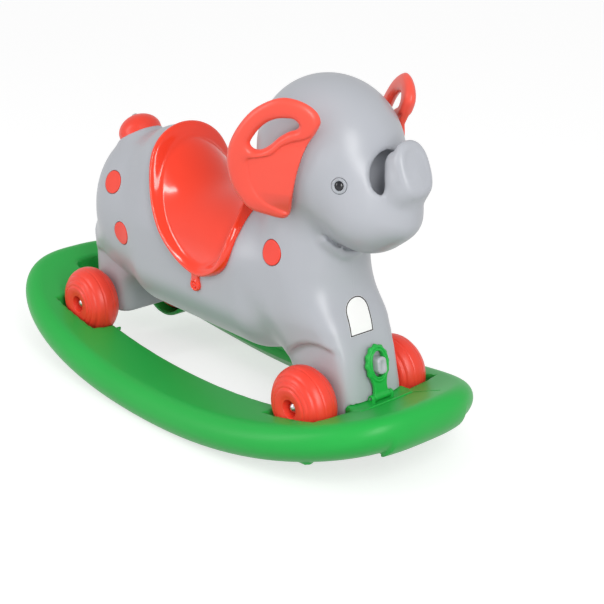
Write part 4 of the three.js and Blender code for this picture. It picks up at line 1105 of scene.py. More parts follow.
    def moulded_disc(self, name: str, profile: Profile, places: list[Place],
                     sides: int = 48) -> Piece:
        """Discs that follow the skin.

        Args:
            name: The piece's name.
            profile: Pairs of radius and height above the skin, from the middle below round to the top.
            places: Their middles.
            sides: Faces round each disc.

        Returns:
            All discs in one piece.
        """
        points, faces = [], []
        turns = np.linspace(0.0, 2.0 * math.pi, sides, endpoint=False)
        radii = np.array([r for r, _ in profile])
        heights = np.repeat([h for _, h in profile], sides)
        for place in places:
            local = np.stack([np.outer(radii, np.cos(turns)).ravel(), np.outer(radii, np.sin(turns)).ravel(),
                              np.zeros(len(radii) * sides)], axis=1)
            skin = settle(self.mass, place.world(local))
            base = sum(map(len, points))
            points.append(skin + self.normal(skin) * heights[:, None])
            faces += [tuple(base + k for k in face) for face in grid_faces(len(radii), sides, True)]
        obj = mesh_piece(name, np.concatenate(points), faces)
        mend(obj)
        return obj

    def build(self) -> None:
        """Make the grey moulding and what is let into it."""
        turnery = self.chassis.turnery
        moulding = moulding_in(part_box("body_shell"), "elephant_moulding", self.shape, self.cell, 60.0)
        spots = [self.flank(x, z, side) for _, x, z in self.spots for side in Side]
        eyes = [self.flank(*self.eye, side) for side in Side]
        spot_plug = self.plug(self.spot_radius + self.spot_gap, self.spot_recess)
        cutters = [turnery.make("spot_recess", spot_plug, spots),
                   turnery.make("eye_recess", self.plug(*self.eye_recess), eyes)]
        cut(moulding, cutters)
        seat(moulding, BODY_GREY, "elephant", ["body_shell"])
        names = [f"spot_{word}_{side.word}" for word, _, _ in self.spots for side in Side]
        discs = self.moulded_disc("round_spots", self.spot_profile(), spots)
        seat(discs, WHEEL_RED, "elephant", names)
        rings = turnery.make("eye_rings", self.eye_ring_profile(), eyes, 48, EYE_WHITE)
        seat(rings, EYE_WHITE, "elephant", [f"eye_ring_{side.word}" for side in Side])
        pupils = turnery.make("eye_pupils", self.pupil_profile(), eyes, 48, PUPIL_BLACK)
        seat(pupils, PUPIL_BLACK, "elephant", [f"eye_pupil_{side.word}" for side in Side])

    def plug(self, radius: float, depth: float) -> Profile:
        """A round plug that cuts a recess of a radius and depth into the skin."""
        return [(0.0, -depth), (radius, -depth), (radius, self.cutter_rise), (0.0, self.cutter_rise)]

    def spot_profile(self) -> Profile:
        """A round disc with a soft edge, a little fuller in the middle."""
        r, edge = self.spot_radius, self.spot_edge
        face = [(r * share, self.spot_rise - self.spot_fall * share ** 2)
                for share in (k / 6.0 for k in range(5, -1, -1))]
        rim = arc((r - edge, self.spot_rise - edge), edge, 0.0, 90.0, 4)
        return [(0.0, -self.spot_depth), (r, -self.spot_depth), *rim, *face]

    def eye_ring_profile(self) -> Profile:
        """A ring with a round rim, a bead round the pupil and a bore for it."""
        bore, foot = self.pupil_radius + self.pupil_gap, -self.eye_seat
        rim, edge = self.eye_radius, self.eye_rim_edge
        outer = arc((rim - edge, self.eye_rim_z), edge, 0.0, 110.0, 4)
        bead = arc(self.eye_bead, self.eye_bead_radius, 150.0, 30.0, 5)
        return [(bore, foot), (rim, foot), (rim, 0.0), *outer, *bead, self.eye_lip, (bore, self.eye_bore_z),
                (bore, foot)]

    def pupil_profile(self) -> Profile:
        """A plug with a domed face."""
        dome_z, dome_radius = self.pupil_dome
        dome = arc((0.0, dome_z), dome_radius, 47.0, 90.0, 8)
        return [(0.0, -self.eye_seat), (self.pupil_radius, -self.eye_seat),
                (self.pupil_radius, self.pupil_edge_z), *dome]


@dataclass
class TailCap:
    """The red dome on the tail and its screw."""

    elephant: Elephant
    radius: float = 31.0
    height: float = 27.3
    skirt: float = 3.2
    wall: float = 0.7
    floor_z: float = 0.5
    lip: Pair = (0.4, 0.3)
    dome_foot: float = 3.2
    pocket_radius: float = 5.4
    pocket_depth: float = 0.6
    crown_fall: float = 0.1
    screw_sink: float = 0.5

    def profile(self) -> Profile:
        """The dome with its skirt and the flat pocket for the screw."""
        inner, foot, pocket = self.radius - self.wall, -self.skirt, self.height - self.pocket_depth
        skirt = [(inner, self.floor_z), (inner, foot), (self.radius - self.lip[0], foot - self.lip[1]),
                 (self.radius, foot)]
        turns = [math.radians(a) for a in range(6, 78, 4)]
        dome = [(self.radius * math.cos(t), self.dome_foot + (self.height - self.dome_foot) * math.sin(t))
                for t in turns]
        crown = (self.pocket_radius + self.pocket_depth, self.height - self.crown_fall)
        return [(0.0, self.floor_z), *skirt, *dome, crown, (self.pocket_radius, pocket), (0.0, pocket)]

    def build(self) -> None:
        """Make the dome and the screw."""
        turnery = self.elephant.chassis.turnery
        place = self.elephant.tail_place()
        cap = turnery.make("tail_dome", self.profile(), [place], 80, WHEEL_RED)
        seat(cap, WHEEL_RED, "elephant", ["tail_cap"])
        top = Place.facing(place.point + place.out * (self.height - self.screw_sink), place.out)
        screw = turnery.make("tail_dome_screw", PanHead().profile(), [top], 32)
        seat(screw, STEEL, "elephant", ["tail_screw"])


@dataclass(frozen=True)
class PanHead:
    """A screw's pan head with a round socket."""

    radius: float = 4.0
    height: float = 2.3
    edge: float = 1.4
    seat_z: float = 0.05
    socket: float = 1.7
    socket_floor: float = 1.5
    socket_depth: float = 1.1

    def profile(self) -> Profile:
        """From under its seat to the socket's floor."""
        crown = arc((self.radius - self.edge, self.height - self.edge), self.edge, 0.0, 90.0, 4)
        floor = self.height - self.socket_depth
        return [(0.0, self.seat_z), (self.radius, self.seat_z), *crown, (self.socket, self.height),
                (self.socket_floor, floor), (0.0, floor)]


@dataclass
class Saddle:
    """The glossy red shell on the back: a rolled rim round a hollow, and a screwed tab on each flap."""

    elephant: Elephant
    axis_z: float = 235.0
    rear_x: float = -95.0
    front_x: float = 96.0
    flap_x: float = 45.0
    flap_reach: float = 64.0
    flap_angle: float = 113.5
    rear_power: float = 1.85
    front_power: float = 1.5
    front_sharpness: float = 8.0
    shoulder: float = 0.55
    end_share: float = 0.9996
    rows: int = 141
    columns: int = 81
    rim_height: float = 7.6
    hollow_height: float = -0.8
    rim_width: float = 19.0
    wall: float = 2.4
    gap: float = 0.4
    seam_at: float = 8.5
    seam_height: float = 1.3
    seam_sides: Pair = (2.0, 3.4)
    seam_end_shares: Pair = (0.02, 0.08)
    end_reach: float = 85.0
    room_edge: Pair = (5.0, 12.0)
    room_step: float = 60.0
    room_slope: float = 30.0
    rim_roll: float = 5.5
    rim_end: float = 6.5
    even_blend: float = 6.0
    even_edge: float = 5.0
    even_from: float = 7.0
    wall_from: float = 12.0
    probe: Pair = (3.0, 0.04)
    lattice_x: Triple = (-124.0, 137.0, 4.0)
    lattice_turn: Triple = (-132.0, 133.0, 3.0)
    evening_reach: int = 14
    evening_spread: float = 5.5
    lattice: tuple[Array, Array, Array] = field(init=False)
    tab: Pair = (34.0, 185.0)
    tab_radius: float = 9.0
    tab_height: float = 4.0
    tab_foot: float = 1.2
    tab_edge: float = 1.6
    neck_half: float = 5.0
    neck_flare: float = 0.16
    neck_length: float = 22.0
    neck_blend: float = 6.0
    tab_ring: Pair = (6.6, 1.1)
    ring_blend: float = 1.2
    tab_pit: Triple = (4.6, 1.3, 0.4)
    pit_edge: float = 0.8
    head_sink: float = 1.4

    def __post_init__(self) -> None:
        """Tabulate how far the back lies from the saddle's axis, evened out like a moulded seat."""
        x = np.arange(*self.lattice_x)
        angle = np.radians(np.arange(*self.lattice_turn))
        turn, along = (grid.ravel() for grid in np.meshgrid(angle, x, indexing="ij"))
        direction = np.stack([np.zeros_like(turn), np.sin(turn), np.cos(turn)], axis=1)
        point, _ = self.elephant.on_skin(along, np.full(along.size, self.axis_z), direction)
        radius = np.hypot(point[:, 1], point[:, 2] - self.axis_z).reshape(len(angle), len(x))
        reach = self.evening_reach
        weights = np.exp(-0.5 * np.square(np.arange(-reach, reach + 1) / self.evening_spread))
        weights /= weights.sum()
        for _ in range(2):
            padded = np.pad(radius, ((reach, reach), (0, 0)), mode="edge")
            radius = sum(w * padded[k:k + radius.shape[0]] for k, w in enumerate(weights)).T
        self.lattice = (x, angle, radius)

    def even_radius(self, x: Array, angle: Array) -> Array:
        """Distance of the evened back from the saddle's axis."""
        xs, angles, radius = self.lattice
        row = (angle - angles[0]) / (angles[1] - angles[0])
        return looked_up(radius, row, (x - xs[0]) / (xs[1] - xs[0]))

    def under(self, p: Array, skin: Array) -> Array:
        """Make room for the saddle in the back and raise the thin seam behind it.

        Args:
            p: The points.
            skin: The body's field there.

        Returns:
            The body's field with room for the saddle.
        """
        radius = np.hypot(p[..., 1], p[..., 2] - self.axis_z)
        angle = np.arctan2(p[..., 1], p[..., 2] - self.axis_z)
        end = math.radians(self.flap_angle)
        share = np.clip(np.abs(angle) / end, 0.0, 1.0)
        rear, front = self.edges(share)
        inside = np.minimum(np.minimum(p[..., 0] - rear, front - p[..., 0]),
                            (end - np.abs(angle)) * self.end_reach)
        floor = self.even_radius(p[..., 0], angle) + self.hollow_height - self.wall - self.gap
        room = (radius - floor - self.room_step * (1.0 - smooth(inside, *self.room_edge))
                + self.room_slope * np.minimum(inside, 0.0))
        behind = rear - p[..., 0]
        near, far = self.seam_sides
        seam = (smooth(behind, -near, 0.0) * smooth(self.seam_at - behind, 0.0, far)
                * smooth(1.0 - share, *self.seam_end_shares))
        return np.maximum(skin - self.seam_height * seam, room)

    def edges(self, share: Array) -> tuple[Array, Array]:
        """Rear and front edge at a share of the way from the ridge to a flap's end."""
        share = np.abs(share)
        rear = (1.0 - share ** 2) ** (1.0 / self.rear_power)
        front = (1.0 - share ** self.front_sharpness) ** (1.0 / self.front_power)
        reach = self.front_x - self.flap_x
        reach = reach + (self.flap_reach - reach) * smooth(share, 0.0, self.shoulder)
        return self.flap_x + (self.rear_x - self.flap_x) * rear, self.flap_x + reach * front

    def rise(self, inwards: Array) -> Array:
        """Height of the outer face above the skin at a distance from the edge."""
        roll = 1.0 - np.clip(inwards / self.rim_roll, 0.0, 1.0)
        crown = 1.0 + (self.rim_height - 1.0) * np.sqrt(1.0 - roll ** 2)
        return crown - (self.rim_height - self.hollow_height) * smooth(inwards, self.rim_end, self.rim_width)

    def inwards(self, x: Array, rear: Array, front: Array, direction: Array) -> Array:
        """How far inside the saddle's outline points lie, measured over the back.

        Args:
            x: The points' places on X, row by row.
            rear: The rear edge of each row.
            front: The front edge of each row.
            direction: The way from the saddle's axis to each row.

        Returns:
            Distances, none below zero.
        """
        level = np.full(self.rows, self.axis_z)
        ridge, _ = self.elephant.on_skin(np.full(self.rows, self.flap_x), level, direction)
        along = np.concatenate([[0.0], np.cumsum(np.linalg.norm(np.diff(ridge, axis=0), axis=1))])
        outline = np.concatenate([np.stack([rear, along], axis=1), np.stack([front, along], axis=1)[::-1]])
        return np.maximum(-polygon_distance(x, np.repeat(along, self.columns), outline), 0.0)

    def even_normal(self, x: Array, angle: Array, direction: Array) -> Array:
        """Outward normals of the evened back.

        Args:
            x: Places on X.
            angle: Turns from the top, in radians.
            direction: The way from the saddle's axis at each of them.

        Returns:
            Unit normals.
        """
        step, turn = self.probe
        slope_x = (self.even_radius(x + step, angle) - self.even_radius(x - step, angle)) / (2.0 * step)
        slope_turn = (self.even_radius(x, angle + turn) - self.even_radius(x, angle - turn)) / (2.0 * turn)
        slope_turn /= self.even_radius(x, angle)
        round_it = np.stack([np.zeros_like(angle), np.cos(angle), -np.sin(angle)], axis=1)
        normal = direction - slope_x[:, None] * (1.0, 0.0, 0.0) - slope_turn[:, None] * round_it
        return normal / np.linalg.norm(normal, axis=1, keepdims=True)

    def build(self) -> None:
        """Make the shell, its tabs and their screws."""
        shell = self.make_shell()
        merge(shell, [self.make_tab(side) for side in Side])
        seat(shell, SADDLE_RED, "elephant", ["saddle"])
        places = [self.elephant.flank(*self.tab, side) for side in Side]
        heads = [Place.facing(place.point + place.out * (self.tab_height - self.head_sink), place.out)
                 for place in places]
        turnery = self.elephant.chassis.turnery
        screws = turnery.make("saddle_tab_screws", PanHead().profile(), heads, 32, SADDLE_RED)
        seat(screws, SADDLE_RED, "elephant", [f"saddle_screw_{side.word}" for side in Side])

    def make_shell(self) -> Piece:
        """The outer and the inner face, laid over the back row by row and joined round the edge.

        Returns:
            The closed shell.
        """
        share = self.end_share * np.sin(np.linspace(-1.0, 1.0, self.rows) * math.pi / 2.0)
        rear, front = self.edges(share)
        across = (1.0 - np.cos(np.linspace(0.0, math.pi, self.columns))) / 2.0
        x = (rear[:, None] + (front - rear)[:, None] * across).ravel()
        angle = np.repeat(share * math.radians(self.flap_angle), self.columns)
        direction = np.stack([np.zeros_like(angle), np.sin(angle), np.cos(angle)], axis=1)
        level = np.full(x.size, self.axis_z)
        point, _ = self.elephant.on_skin(x, level, direction)
        start = np.stack([x, np.zeros(x.size), level], axis=1)
        inwards = self.inwards(x, rear, front, direction[::self.columns])
        skin = np.linalg.norm(point - start, axis=1)
        even = self.even_radius(x, angle)
        full = -blend(-skin, -even, self.even_blend)
        base = skin + (full - skin) * smooth(inwards, 0.0, self.even_edge)
        base = base + (even - full) * smooth(inwards, self.even_from, self.rim_width)
        normal = self.even_normal(x, angle, direction)
        outer = start + direction * base[:, None] + normal * self.rise(inwards)[:, None]
        below = even + self.hollow_height - self.wall - skin - self.gap
        below = below * smooth(inwards, self.wall_from, self.rim_width)
        inner = start + direction * (skin + self.gap + below)[:, None]
        numbers = np.arange(x.size).reshape(self.rows, self.columns)
        rim = [*numbers[0], *numbers[1:, -1], *numbers[-1, -2::-1], *numbers[-2:0:-1, 0]]
        faces = shell_faces(grid_faces(self.rows, self.columns, False), [rim], x.size)
        shell = mesh_piece("saddle_shell", np.concatenate([outer, inner]), faces)
        mend(shell)
        return shell

    def make_tab(self, side: Side) -> Piece:
        """The round tab below one flap, with its neck and raised ring."""
        place = self.elephant.flank(*self.tab, side)

        def shape(q: Array) -> Array:
            """Distance to the tab, across, up and out."""
            from_middle = np.hypot(q[..., 0], q[..., 1])
            half = self.neck_length / 2.0
            neck = np.maximum(np.abs(q[..., 0]) - self.neck_half - self.neck_flare * q[..., 1],
                              np.abs(q[..., 1] - half) - half)
            outline = blend(from_middle - self.tab_radius, neck, self.neck_blend)
            slab = np.abs(q[..., 2] - self.tab_foot) - self.tab_height + self.tab_foot
            d = rounded_edge(outline, slab, self.tab_edge)
            height = q[..., 2] - self.tab_height
            middle, bead = self.tab_ring
            ring = np.hypot(from_middle - middle, height) - bead
            radius, depth, edge = self.tab_pit
            pit = rounded_edge(from_middle - radius, np.abs(height) - depth, edge)
            return carve(blend(d, ring, self.ring_blend), pit, self.pit_edge)

        return place.net(f"tab_{side.word}", shape, (-16.0, -12.0, -4.0), (16.0, 25.0, 8.0))


def merge(obj: Piece, others: list[Piece]) -> None:
    """Put other objects' meshes into an object and delete them."""
    bm = bmesh.new()
    for item in (obj, *others):
        bm.from_mesh(item.data)
    bm.to_mesh(obj.data)
    bm.free()
    for item in others:
        bpy.data.objects.remove(item, do_unlink=True)
    crisp(obj)


def closed_curve(corners: Array, count: int) -> Array:
    """A smooth closed curve through corners, its speed set by their spacing.

    Args:
        corners: The corners, one row each.
        count: Points between two corners.

    Returns:
        The curve's points, one row each.
    """
    p0, p1, p2, p3 = (np.roll(corners, shift, axis=0) for shift in (1, 0, -1, -2))
    gaps = [np.linalg.norm(b - a, axis=1, keepdims=True) ** 0.5
            for a, b in ((p0, p1), (p1, p2), (p2, p3))]
    leave = ((p1 - p0) / gaps[0] - (p2 - p0) / (gaps[0] + gaps[1]) + (p2 - p1) / gaps[1]) * gaps[1]
    reach = ((p2 - p1) / gaps[1] - (p3 - p1) / (gaps[1] + gaps[2]) + (p3 - p2) / gaps[2]) * gaps[1]
    rows = []
    for t in np.linspace(0.0, 1.0, count, endpoint=False):
        weights = (2 * t ** 3 - 3 * t ** 2 + 1, t ** 3 - 2 * t ** 2 + t, 3 * t ** 2 - 2 * t ** 3,
                   t ** 3 - t ** 2)
        rows.append(weights[0] * p1 + weights[1] * leave + weights[2] * p2 + weights[3] * reach)
    return np.stack(rows, axis=1).reshape(-1, corners.shape[1])


@dataclass
class Ear:
    """A coral ear that is a handle: a fat rolled rim, a thinner web and a grip hole."""

    elephant: Elephant
    side: Side
    cell: float = 1.7
    root: Vector = Vector((238.0, 79.0, 392.0))
    flare: float = 30.0
    tilt: float = 11.5
    size: Pair = (123.0, 159.5)
    corner: Pair = (-31.6, -73.0)
    thickness: float = 16.0
    roll: float = 7.4
    web_roll: float = 2.0
    web_depth: float = 3.4
    rim_fall: float = 3.2
    curl_length: float = 72.0
    curl_reach: float = 32.0
    curl_shares: Triple = (0.3, -0.43, -0.85)
    front_shares: Pair = (0.4, -0.1)
    head_gap: Pair = (0.8, 3.4)
    gap_fade: Pair = (3.0, 14.0)
    gap_edge: float = 1.2
    stand_off: float = 5.0
    lift: float = 8.0
    margin: float = 5.0
    curve_steps: int = 4
    outline_shares: tuple[Pair, ...] = (
        (0.41, 0.0), (0.63, 0.01), (0.8, 0.05), (0.89, 0.135), (0.97, 0.26), (0.995, 0.45), (0.945, 0.6),
        (0.81, 0.77), (0.64, 0.9), (0.4, 0.99), (0.25, 0.99), (0.1, 0.945), (0.015, 0.88), (0.0, 0.815),
        (0.04, 0.75), (0.135, 0.645), (0.215, 0.52), (0.28, 0.365), (0.335, 0.205))
    hole_shares: tuple[Pair, ...] = (
        (0.73, 0.6), (0.7, 0.56), (0.63, 0.56), (0.53, 0.605), (0.43, 0.675), (0.33, 0.725), (0.24, 0.755),
        (0.22, 0.79), (0.26, 0.825), (0.34, 0.83), (0.43, 0.82), (0.52, 0.79), (0.61, 0.735), (0.68, 0.67))
    web_shares: tuple[Pair, ...] = (
        (0.41, 0.06), (0.515, 0.09), (0.635, 0.14), (0.725, 0.24), (0.765, 0.39), (0.755, 0.48), (0.67, 0.5),
        (0.515, 0.535), (0.41, 0.605), (0.3, 0.65), (0.18, 0.68), (0.05, 0.72), (0.02, 0.5), (0.15, 0.2),
        (0.25, 0.0))
    frame_place: Place = field(init=False)
    outline: Array = field(init=False)
    hole: Array = field(init=False)
    web: Array = field(init=False)
    curl_table: tuple[Array, Array, Array] = field(init=False)

    def __post_init__(self) -> None:
        """Work out the ear's frame, its outlines and how far its front edge is from the head."""
        flare = math.radians(self.flare)
        out = np.array([math.sin(flare), math.cos(flare), -math.tan(math.radians(self.tilt))])
        out /= np.linalg.norm(out)
        along = np.array([-math.cos(flare), math.sin(flare), 0.0])
        self.frame_place = Place(np.array(self.root), along, np.cross(out, along), out)
        self.outline, self.hole, self.web = (
            closed_curve(np.array(self.corner) + np.array(shares) * self.size, self.curve_steps)
            for shares in (self.outline_shares, self.hole_shares, self.web_shares))
        level = np.linspace(self.corner[1] - self.margin, self.corner[1] + self.size[1] + self.margin, 200)
        share = np.clip((level - self.corner[1]) / self.size[1], 0.0, 1.0)
        first, last = self.front_shares
        front = self.corner[0] + (first + (last - first) * share) * self.size[0]
        start = self.frame_place.world(np.stack([front, level, np.zeros_like(level)], axis=1))
        reach = np.zeros_like(level)
        for _ in range(16):
            out = self.elephant.mass(start + self.curl_way() * reach[:, None]) - self.stand_off
            reach = np.clip(reach + out, -self.lift, self.curl_reach)
        self.curl_table = (level, front, reach)

    def curl_way(self) -> Array:
        """The direction in which the front edge curls."""
        way = self.frame_place.world(np.array(self.curl_shares)) - self.frame_place.point
        return way / np.linalg.norm(way)

    def world(self, q: Array) -> Array:
        """Where points of the flat left ear come to lie on the curled one."""
        level, front, reach = self.curl_table
        edge = np.interp(q[..., 1], level, front)
        share = 1.0 - smooth(q[..., 0] - edge, 0.0, self.curl_length)
        way = np.interp(q[..., 1], level, reach)
        share = np.where(way > 0.0, share * smooth(-q[..., 1], 0.0, -self.corner[1] / 2.0), share)
        moved = (way * share)[..., None] * self.curl_way()
        return self.frame_place.world(q) + moved

    def shape(self, q: Array) -> Array:
        """Distance to the ear in its flat frame, cut back from the head."""
        edge = polygon_distance(q[..., 0], q[..., 1], self.outline)
        edge = np.maximum(edge, -polygon_distance(q[..., 0], q[..., 1], self.hole))
        inner = np.maximum(-edge, 0.0)
        outer = np.maximum(polygon_distance(q[..., 0], q[..., 1], self.web), 0.0)
        across = np.clip(2.0 * inner / (inner + outer + 0.001) - 1.0, -1.0, 1.0)
        fullness = np.where(across < 0.0, 1.0, np.sqrt(1.0 - across ** 2))
        half = self.thickness / 2.0 - self.web_depth * (1.0 - fullness)
        half = half - self.rim_fall * np.minimum(across, 0.0) ** 2
        roll = self.web_roll + (self.roll - self.web_roll) * fullness
        d = rounded_edge(edge, np.abs(q[..., 2]) - half, roll)
        least, more = self.head_gap
        gap = least + more * (1.0 - smooth(inner, *self.gap_fade))
        return overlap(d, gap - self.elephant.mass(self.world(q)), self.gap_edge)

    def build(self) -> None:
        """Make one ear."""
        half = self.thickness / 2.0 + self.margin
        low = np.array([*(self.outline.min(axis=0) - self.margin), -half])
        high = np.array([*(self.outline.max(axis=0) + self.margin), half])
        points, faces = net_of(self.shape, low, high, self.cell)
        points = self.world(points)
        if self.side is Side.RIGHT:
            points, faces = points * (1.0, -1.0, 1.0), faces[:, ::-1]
        obj = mesh_piece(f"{self.side.word}_ear_handle", points, faces, 55.0)
        seat(obj, EAR_CORAL, "elephant", [f"ear_{self.side.word}"])


@dataclass
class Label:
    """A plain arched label on the chest: white film with one dark line near its edge."""

    elephant: Elephant
    bottom: Vector = Vector((278.5, -7.5, 170.5))
    top: Vector = Vector((252.0, 0.0, 211.0))
    half_width: float = 19.0
    line_inset: float = 0.4
    line_width: float = 1.5
    slant: float = 0.15
    film_height: float = 0.4
    line_height: float = 0.55
    foot_height: float = 0.05
    crown_points: int = 25
    side_points: int = 12

    def sheet(self, name: str, inset: float, width: float | None, height: float) -> Piece:
        """A film on the skin, either whole or only a line along its edge.

        Args:
            name: The piece's name.
            inset: Distance from the label's edge to the film's.
            width: Width of the line, or None for the whole film.
            height: Height of its face above the skin.

        Returns:
            The film, closed underneath.
        """
        base, crown = np.array(self.bottom), np.array(self.top)
        place = Place.facing((base + crown) / 2.0, (1.0, 0.0, 0.6), crown - base)
        half = np.linalg.norm(crown - base) / 2.0
        rings = [self.outline(half, inset)]
        if width is not None:
            rings.append(self.outline(half, inset + width))
        else:
            rings += [rings[0] * k / 8.0 for k in range(7, -1, -1)]
        flat = np.concatenate(rings)
        local = np.stack([flat[:, 0], flat[:, 1] + self.slant * flat[:, 0], np.zeros(len(flat))], axis=1)
        skin = settle(self.elephant.shape, place.world(local), 8)
        normal = self.elephant.normal(skin)
        count = len(skin)
        sides = len(rings[0])
        rims = [list(range(ring * sides, (ring + 1) * sides))
                for ring in ((0,) if width is None else (0, len(rings) - 1))]
        faces = shell_faces(grid_faces(len(rings), sides, True), rims, count)
        points = np.concatenate([skin + normal * height, skin + normal * self.foot_height])
        obj = mesh_piece(name, points, faces)
        mend(obj)
        return obj

    def outline(self, half: float, inset: float) -> Array:
        """The arch's outline, across and up from the label's middle."""
        width = self.half_width - inset
        spring = half - self.half_width
        turns = np.linspace(0.0, math.pi, self.crown_points)
        crown = [(width * math.cos(t), spring + width * math.sin(t)) for t in turns]
        foot = -half + inset
        left = [(-width, h) for h in np.linspace(spring, foot, self.side_points)[1:]]
        sole = [(w, foot) for w in np.linspace(-width, width, self.side_points)[1:]]
        right = [(width, h) for h in np.linspace(foot, spring, self.side_points)[1:-1]]
        return np.array(crown + left + sole + right)

    def build(self) -> None:
        """Make the film and its line."""
        film = self.sheet("chest_label", 0.0, None, self.film_height)
        seat(film, LABEL_WHITE, "elephant")
        line = self.sheet("chest_label_line", self.line_inset, self.line_width, self.line_height)
        seat(line, LABEL_INK, "elephant")


@dataclass
class Rocker:
    """The green rocker: a fat round-edged ring with wells for the wheels."""

    chassis: Chassis
    cell: float = 3.3
    half_length: float = 400.0
    half_width: float = 169.0
    depth: float = 50.0
    exponent: float = 2.94
    edge_radius: float = 24.0
    foot_width: float = 30.0
    rail_width: float = 98.0
    lip_drop: float = 5.0
    lip_thickness: float = 15.0
    lip_power: float = 1.6
    opening: Triple = (-190.0, 215.0, 71.0)
    slot: Pair = (-352.0, 26.0)
    corner: float = 14.0
    overrun: float = 40.0
    well_room: float = 3.5
    well_corner: float = 21.0
    well_reach: float = 30.0
    rear_opening: float = -285.0
    well_gap: float = 1.2
    wheel_gap: float = 0.5
    cup_wall: float = 5.5
    cup_overrun: float = 0.3
    cup_edge: float = 1.5
    rim_z: float = 58.0
    stop: tuple[float, float, float, float] = (36.0, 62.0, 6.5, 9.0)
    pad: Triple = (291.0, 31.0, 49.0)
    pad_top: float = 88.5
    pad_half_height: float = 12.0
    pad_corner: float = 2.0
    pad_edge: float = 1.5
    foot: Triple = (297.0, 117.0, 8.0)
    foot_half_height: float = 8.0
    foot_drop: float = 1.0
    cup_join: float = 2.0
    pad_join: float = 3.0
    edge: float = 5.0
    well_edge: float = 3.5
    hinge: Pair = (304.5, 93.4)
    lip_line: tuple[float, float, float, float] = (319.2, -48.0, 40.0, 92.2)
    groove: tuple[Vector, Vector] = (Vector((320.0, 40.0, 90.8)), Vector((361.0, 47.0, 105.8)))
    groove_half: float = 1.1
    groove_levels: Pair = (-3.4, 6.0)
    lug_y: float = 15.9
    lug_radius: float = 4.5
    lug_half: float = 2.5
    lug_flare: float = 0.12
    lug_foot: float = 12.0
    lug_edge: float = 0.9
    lug_bore: float = 2.4
    bore_edge: float = 0.3
    deck_lip_half: float = 1.3
    deck_lip_depth: float = 6.0
    deck_lip_edge: float = 0.8
    table_step: float = 2.0
    table_margin: float = 60.0
    table_low: float = -90.0
    table_halvings: int = 34
    inset_table: tuple[float, Array] = field(init=False)

    def __post_init__(self) -> None:
        """Tabulate how far inside the outline each point of the plan lies."""
        step, margin = self.table_step, self.table_margin
        x, y = np.meshgrid(np.arange(0.0, self.half_length + margin, step),
                           np.arange(0.0, self.half_width + margin, step), indexing="ij")
        low, high = np.full(x.shape, self.table_low), np.full(x.shape, self.half_width - 1.0)
        for _ in range(self.table_halvings):
            middle = (low + high) / 2.0
            inside = ((x / (self.half_length - middle)) ** self.exponent
                      + (y / (self.half_width - middle)) ** self.exponent) < 1.0
            low, high = np.where(inside, middle, low), np.where(inside, high, middle)
        self.inset_table = (step, low)

    def inset(self, p: Array) -> Array:
        """How far inside the outline points lie, from the table."""
        step, table = self.inset_table
        return looked_up(table, np.abs(p[..., 0]) / step, np.abs(p[..., 1]) / step)

    def section(self, inset: Array, height: Array) -> Array:
        """Distance to the ring's cross-section: a round outer edge, a falling top and a hollow underside."""
        middle = self.depth / 2.0
        edge = np.hypot((self.edge_radius - inset) / self.edge_radius, (height - middle) / middle) - 1.0
        reach = np.clip((inset - self.edge_radius) / (self.rail_width - self.edge_radius), 0.0, 1.0)
        top = self.depth - self.lip_drop * reach ** self.lip_power
        foot = self.edge_radius + self.foot_width
        under = (self.depth - self.lip_drop - self.lip_thickness) * smooth(inset, foot, self.rail_width)
        return np.where(inset < self.edge_radius, edge * middle, np.maximum(height - top, under - height))

    def shape(self, p: Array) -> Array:
        """The whole green moulding."""
        x, y, z = p[..., 0], p[..., 1], p[..., 2]
        c = self.chassis
        inset, height = self.inset(p), z - c.rise(x)
        d = self.section(inset, height)
        length, half, drop, corner = self.stop
        block = rounded_rectangle(p, self.half_length - length, self.half_length + self.overrun, -half, half,
                                  corner)
        d = blend(d, overlap(self.section(inset, height + drop), block, self.cup_join), self.cup_join)
        well_half = c.wheel_half + self.well_gap
        between = c.wheel_y - well_half
        for _, side, centre in c.centres():
            reach = np.hypot(x - centre[0], z - centre[2]) - c.wheel_radius - self.well_room
            way = side.value * y
            slab = np.maximum(way - abs(centre[1]) - well_half, between - self.well_reach - way)
            well = rounded_edge(reach, slab, self.well_corner)
            d = carve(d, np.maximum(well, self.rim_z - z), self.well_edge)
            cup = rod(p, centre, c.wheel_radius + self.wheel_gap + self.cup_wall, well_half)
            d = blend(d, np.maximum(cup, z - self.rim_z), self.cup_join)
            hollow = rod(p, centre, c.wheel_radius + self.wheel_gap, well_half + self.cup_overrun)
            d = carve(d, hollow, self.cup_edge)
        rear, front, width = self.opening
        slot_rear, slot_width = self.slot
        for x0, x1, y1 in ((rear, front, width), (self.rear_opening, self.pad[0], between),
                           (slot_rear, self.rear_opening + self.overrun, slot_width)):
            d = carve(d, rounded_rectangle(p, x0, x1, -y1, y1, self.corner), self.edge)
        pad_x, pad_length, pad_half = self.pad
        outline = rounded_rectangle(p, pad_x, pad_x + pad_length, -pad_half, pad_half, self.pad_corner)
        thick = self.pad_half_height
        pad = rounded_edge(outline, np.abs(z - self.pad_top + thick) - thick, self.pad_edge)
        d = blend(d, pad, self.pad_join)
        foot_x, foot_y, radius = self.foot
        sole = np.hypot(x - foot_x, np.abs(y) - foot_y) - radius
        level = c.rise(np.array(foot_x)) - self.foot_drop
        thick = self.foot_half_height
        return blend(d, np.maximum(sole, np.abs(z - level - thick) - thick), self.pad_join)

    def lugs(self) -> Piece:
        """The two ears that hold the latch's pin."""
        hinge_x, hinge_z = self.hinge

